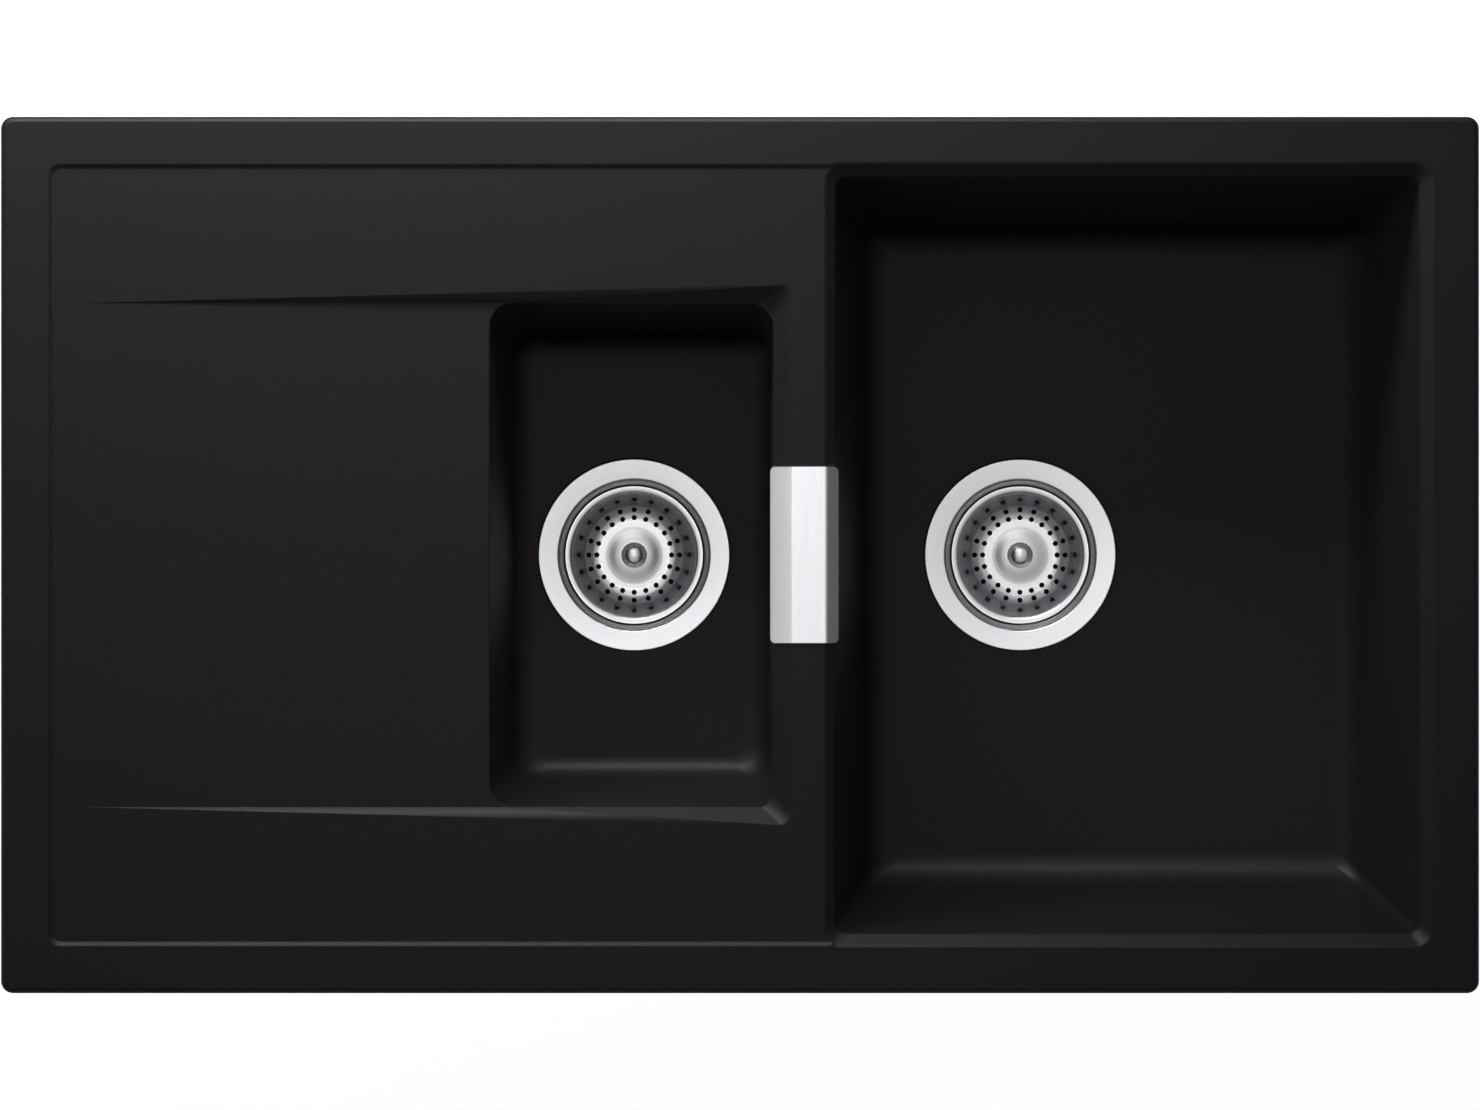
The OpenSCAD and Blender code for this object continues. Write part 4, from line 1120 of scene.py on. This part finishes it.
class SINK_OT_stage(bpy.types.Operator):
    """Set up the floor, the surroundings, the lamps and the camera"""

    bl_idname = "sink.stage"
    bl_label = "Stage"

    def execute(self, context):
        studio = context.scene.sink_studio
        context.scene.view_settings.view_transform = "Standard"
        self.camera(context, studio)
        self.floor()
        self.surroundings(context, studio)
        self.lamps(context, studio)
        return {"FINISHED"}

    def camera(self, context, studio):
        """A long lens straight above the middle of the rim, with the sink's rear at the top."""
        camera = bpy.data.cameras.new("camera")
        camera.lens = studio.lens
        camera.sensor_width = 36
        distance = studio.pixel * studio.width * camera.lens / camera.sensor_width
        camera.clip_start = 1
        camera.clip_end = 2 * distance
        holder = bpy.data.objects.new("camera", camera)
        holder.location = (0, 0, distance)
        context.collection.objects.link(holder)
        context.scene.camera = holder

    def floor(self):
        """A plain pale floor just under the lowest pipe. It shows white, with the sink's soft shadow."""
        width = 14
        grey = 0.6
        glow_strength = 0.96
        bpy.ops.object.select_all(action="DESELECT")
        bpy.ops.mesh.primitive_plane_add(size=width, location=(0, 0, CAD_BOX[0].z - mm(1)))
        floor = bpy.context.object
        floor.name = "floor"
        material, tree, _ = surface("matt_floor_paint", Roughness=0.9, Specular_IOR_Level=0)
        paint = tree.nodes["Principled BSDF"]
        paint.inputs["Base Color"].default_value = (grey, grey, grey, 1)
        glow = node(tree, "ShaderNodeEmission", {"Color": (1, 1, 1, 1), "Strength": glow_strength})
        both = node(tree, "ShaderNodeAddShader", {0: paint.outputs["BSDF"], 1: glow.outputs["Emission"]})
        clear = node(tree, "ShaderNodeBsdfTransparent").outputs["BSDF"]
        below = node(tree, "ShaderNodeNewGeometry").outputs["Backfacing"]
        sided = node(tree, "ShaderNodeMixShader", {0: below, 1: both.outputs["Shader"], 2: clear})
        tree.links.new(sided.outputs["Shader"], tree.nodes["Material Output"].inputs["Surface"])
        floor.data.materials.append(material)

    def surroundings(self, context, studio):
        """White to the camera. Gloss sees a sky that brightens to the rear left, the rest a weak light."""
        world = bpy.data.worlds.new("studio")
        context.scene.world = world
        world.use_nodes = True
        tree = world.node_tree
        tree.nodes["Background"].inputs["Color"].default_value = (1, 1, 1, 1)
        path = node(tree, "ShaderNodeLightPath").outputs
        way = node(tree, "ShaderNodeTexCoord").outputs["Generated"]
        rear_left = (-0.4, 0.4, 0.5)
        towards = node(tree, "ShaderNodeVectorMath", {0: way, 1: rear_left}, operation="DOT_PRODUCT")
        brighter = {"From Min": -0.4, "From Max": 0.75, "To Min": 0.25, "To Max": 0.9}
        sky = node(tree, "ShaderNodeMapRange", {"Value": towards.outputs["Value"], **brighter})
        first = node(tree, "ShaderNodeMath", {0: path["Diffuse Depth"], 1: 0.5}, operation="LESS_THAN")
        either = {0: path["Is Glossy Ray"], 1: path["Is Transmission Ray"]}
        mirrored = node(tree, "ShaderNodeMath", either, operation="MAXIMUM")
        direct = {0: mirrored.outputs["Value"], 1: first.outputs["Value"]}
        gloss = node(tree, "ShaderNodeMath", direct, operation="MULTIPLY")
        light = {"Factor": gloss.outputs["Value"], "A": studio.fill, "B": sky.outputs["Result"]}
        unseen = node(tree, "ShaderNodeMix", light).outputs["Result"]
        strength = node(tree, "ShaderNodeMix", {"Factor": path["Is Camera Ray"], "A": unseen, "B": 1.0})
        tree.links.new(strength.outputs["Result"], tree.nodes["Background"].inputs["Strength"])

    def lamps(self, context, studio):
        """Softboxes and distant spots. Some light what is dull, and the others only show in gloss."""
        boxes = (
            ("rear_softbox", studio.rear_power, (-0.3, 0.8, 0.35), (-0.3, 0.8, 0), (0.8, 0.4), False),
            ("gleam_softbox", studio.gleam_power, (-0.3, 0.8, 0.35), (-0.3, 0.8, 0), (0.8, 0.4), True),
            ("side_softbox", studio.side_power, (-1.3, 0, 0.1), (0, 0, 0.1), (1.2, 0.3), True),
            ("high_softbox", studio.high_power, (-0.5, 2.0, 4.0), (0, 0, 0), (2.0, 1.6), True),
        )
        for name, power, place, target, size, glossy in boxes:
            softbox = self.lamp(context, "AREA", name, power, place, target, glossy)
            softbox.data.shape = "RECTANGLE"
            softbox.data.size, softbox.data.size_y = size
        spots = (
            ("top_spot", studio.top_power, (-0.9, 1.9, 8), (-0.1, 0.25, 0), 1.0, False),
            ("bowl_spot", studio.bowl_power, (-0.72, 1.68, 8), (0.08, 0.03, 0), 0.3, False),
            ("glint_spot", studio.glint_power, (-0.2, 0.35, 8), (-0.2, 0.35, 0), 1.0, True),
        )
        for name, power, place, target, reach, glossy in spots:
            spot = self.lamp(context, "SPOT", name, power, place, target, glossy)
            height = place[2]
            spot.data.spot_size = 2 * math.atan(reach / height)
            spot.data.spot_blend = 1
            spot.data.shadow_soft_size = 0.5

    def lamp(self, context, kind, name, power, place, target, glossy):
        """A lamp at a place, aimed at a target. It only shows in gloss, or it only lights what is dull."""
        lamp = bpy.data.lights.new(name, kind)
        lamp.energy = power
        holder = bpy.data.objects.new(name, lamp)
        holder.location = place
        holder.visible_camera = False
        holder.visible_glossy = glossy
        holder.visible_diffuse = not glossy
        holder.rotation_euler = (Vector(target) - Vector(place)).to_track_quat("-Z", "Y").to_euler()
        context.collection.objects.link(holder)
        return holder


OPERATORS = (
    SINK_OT_moulding,
    SINK_OT_strainers,
    SINK_OT_baskets,
    SINK_OT_knobs,
    SINK_OT_cover,
    SINK_OT_fittings,
    SINK_OT_stage,
)


GROUPS = {
    "sink_moulding": MouldingSizes,
    "sink_waste": WasteSizes,
    "sink_finish": Finish,
    "sink_studio": Studio,
}


class SINK_PT_panel(bpy.types.Panel):
    """Buttons for the sink's pieces, in the order that they are made, and every size and colour"""

    bl_label = "Composite sink"
    bl_idname = "SINK_PT_panel"
    bl_space_type = "VIEW_3D"
    bl_region_type = "UI"
    bl_category = "Sink"

    def draw(self, context):
        for operator in OPERATORS:
            self.layout.operator(operator.bl_idname)
        for group in GROUPS:
            box = self.layout.box()
            settings = getattr(context.scene, group)
            for name in settings.__annotations__:
                box.prop(settings, name)


def register():
    for cls in (*GROUPS.values(), *OPERATORS, SINK_PT_panel):
        bpy.utils.register_class(cls)
    for name, group in GROUPS.items():
        setattr(bpy.types.Scene, name, bpy.props.PointerProperty(type=group))


def unregister():
    for name in GROUPS:
        delattr(bpy.types.Scene, name)
    for cls in (SINK_PT_panel, *reversed(OPERATORS), *GROUPS.values()):
        bpy.utils.unregister_class(cls)


def main():
    """Makes every piece."""
    register()
    bpy.ops.sink.moulding()
    bpy.ops.sink.strainers()
    bpy.ops.sink.baskets()
    bpy.ops.sink.knobs()
    bpy.ops.sink.cover()
    bpy.ops.sink.fittings()
    bpy.ops.sink.stage()


if __name__ == "__main__":
    main()
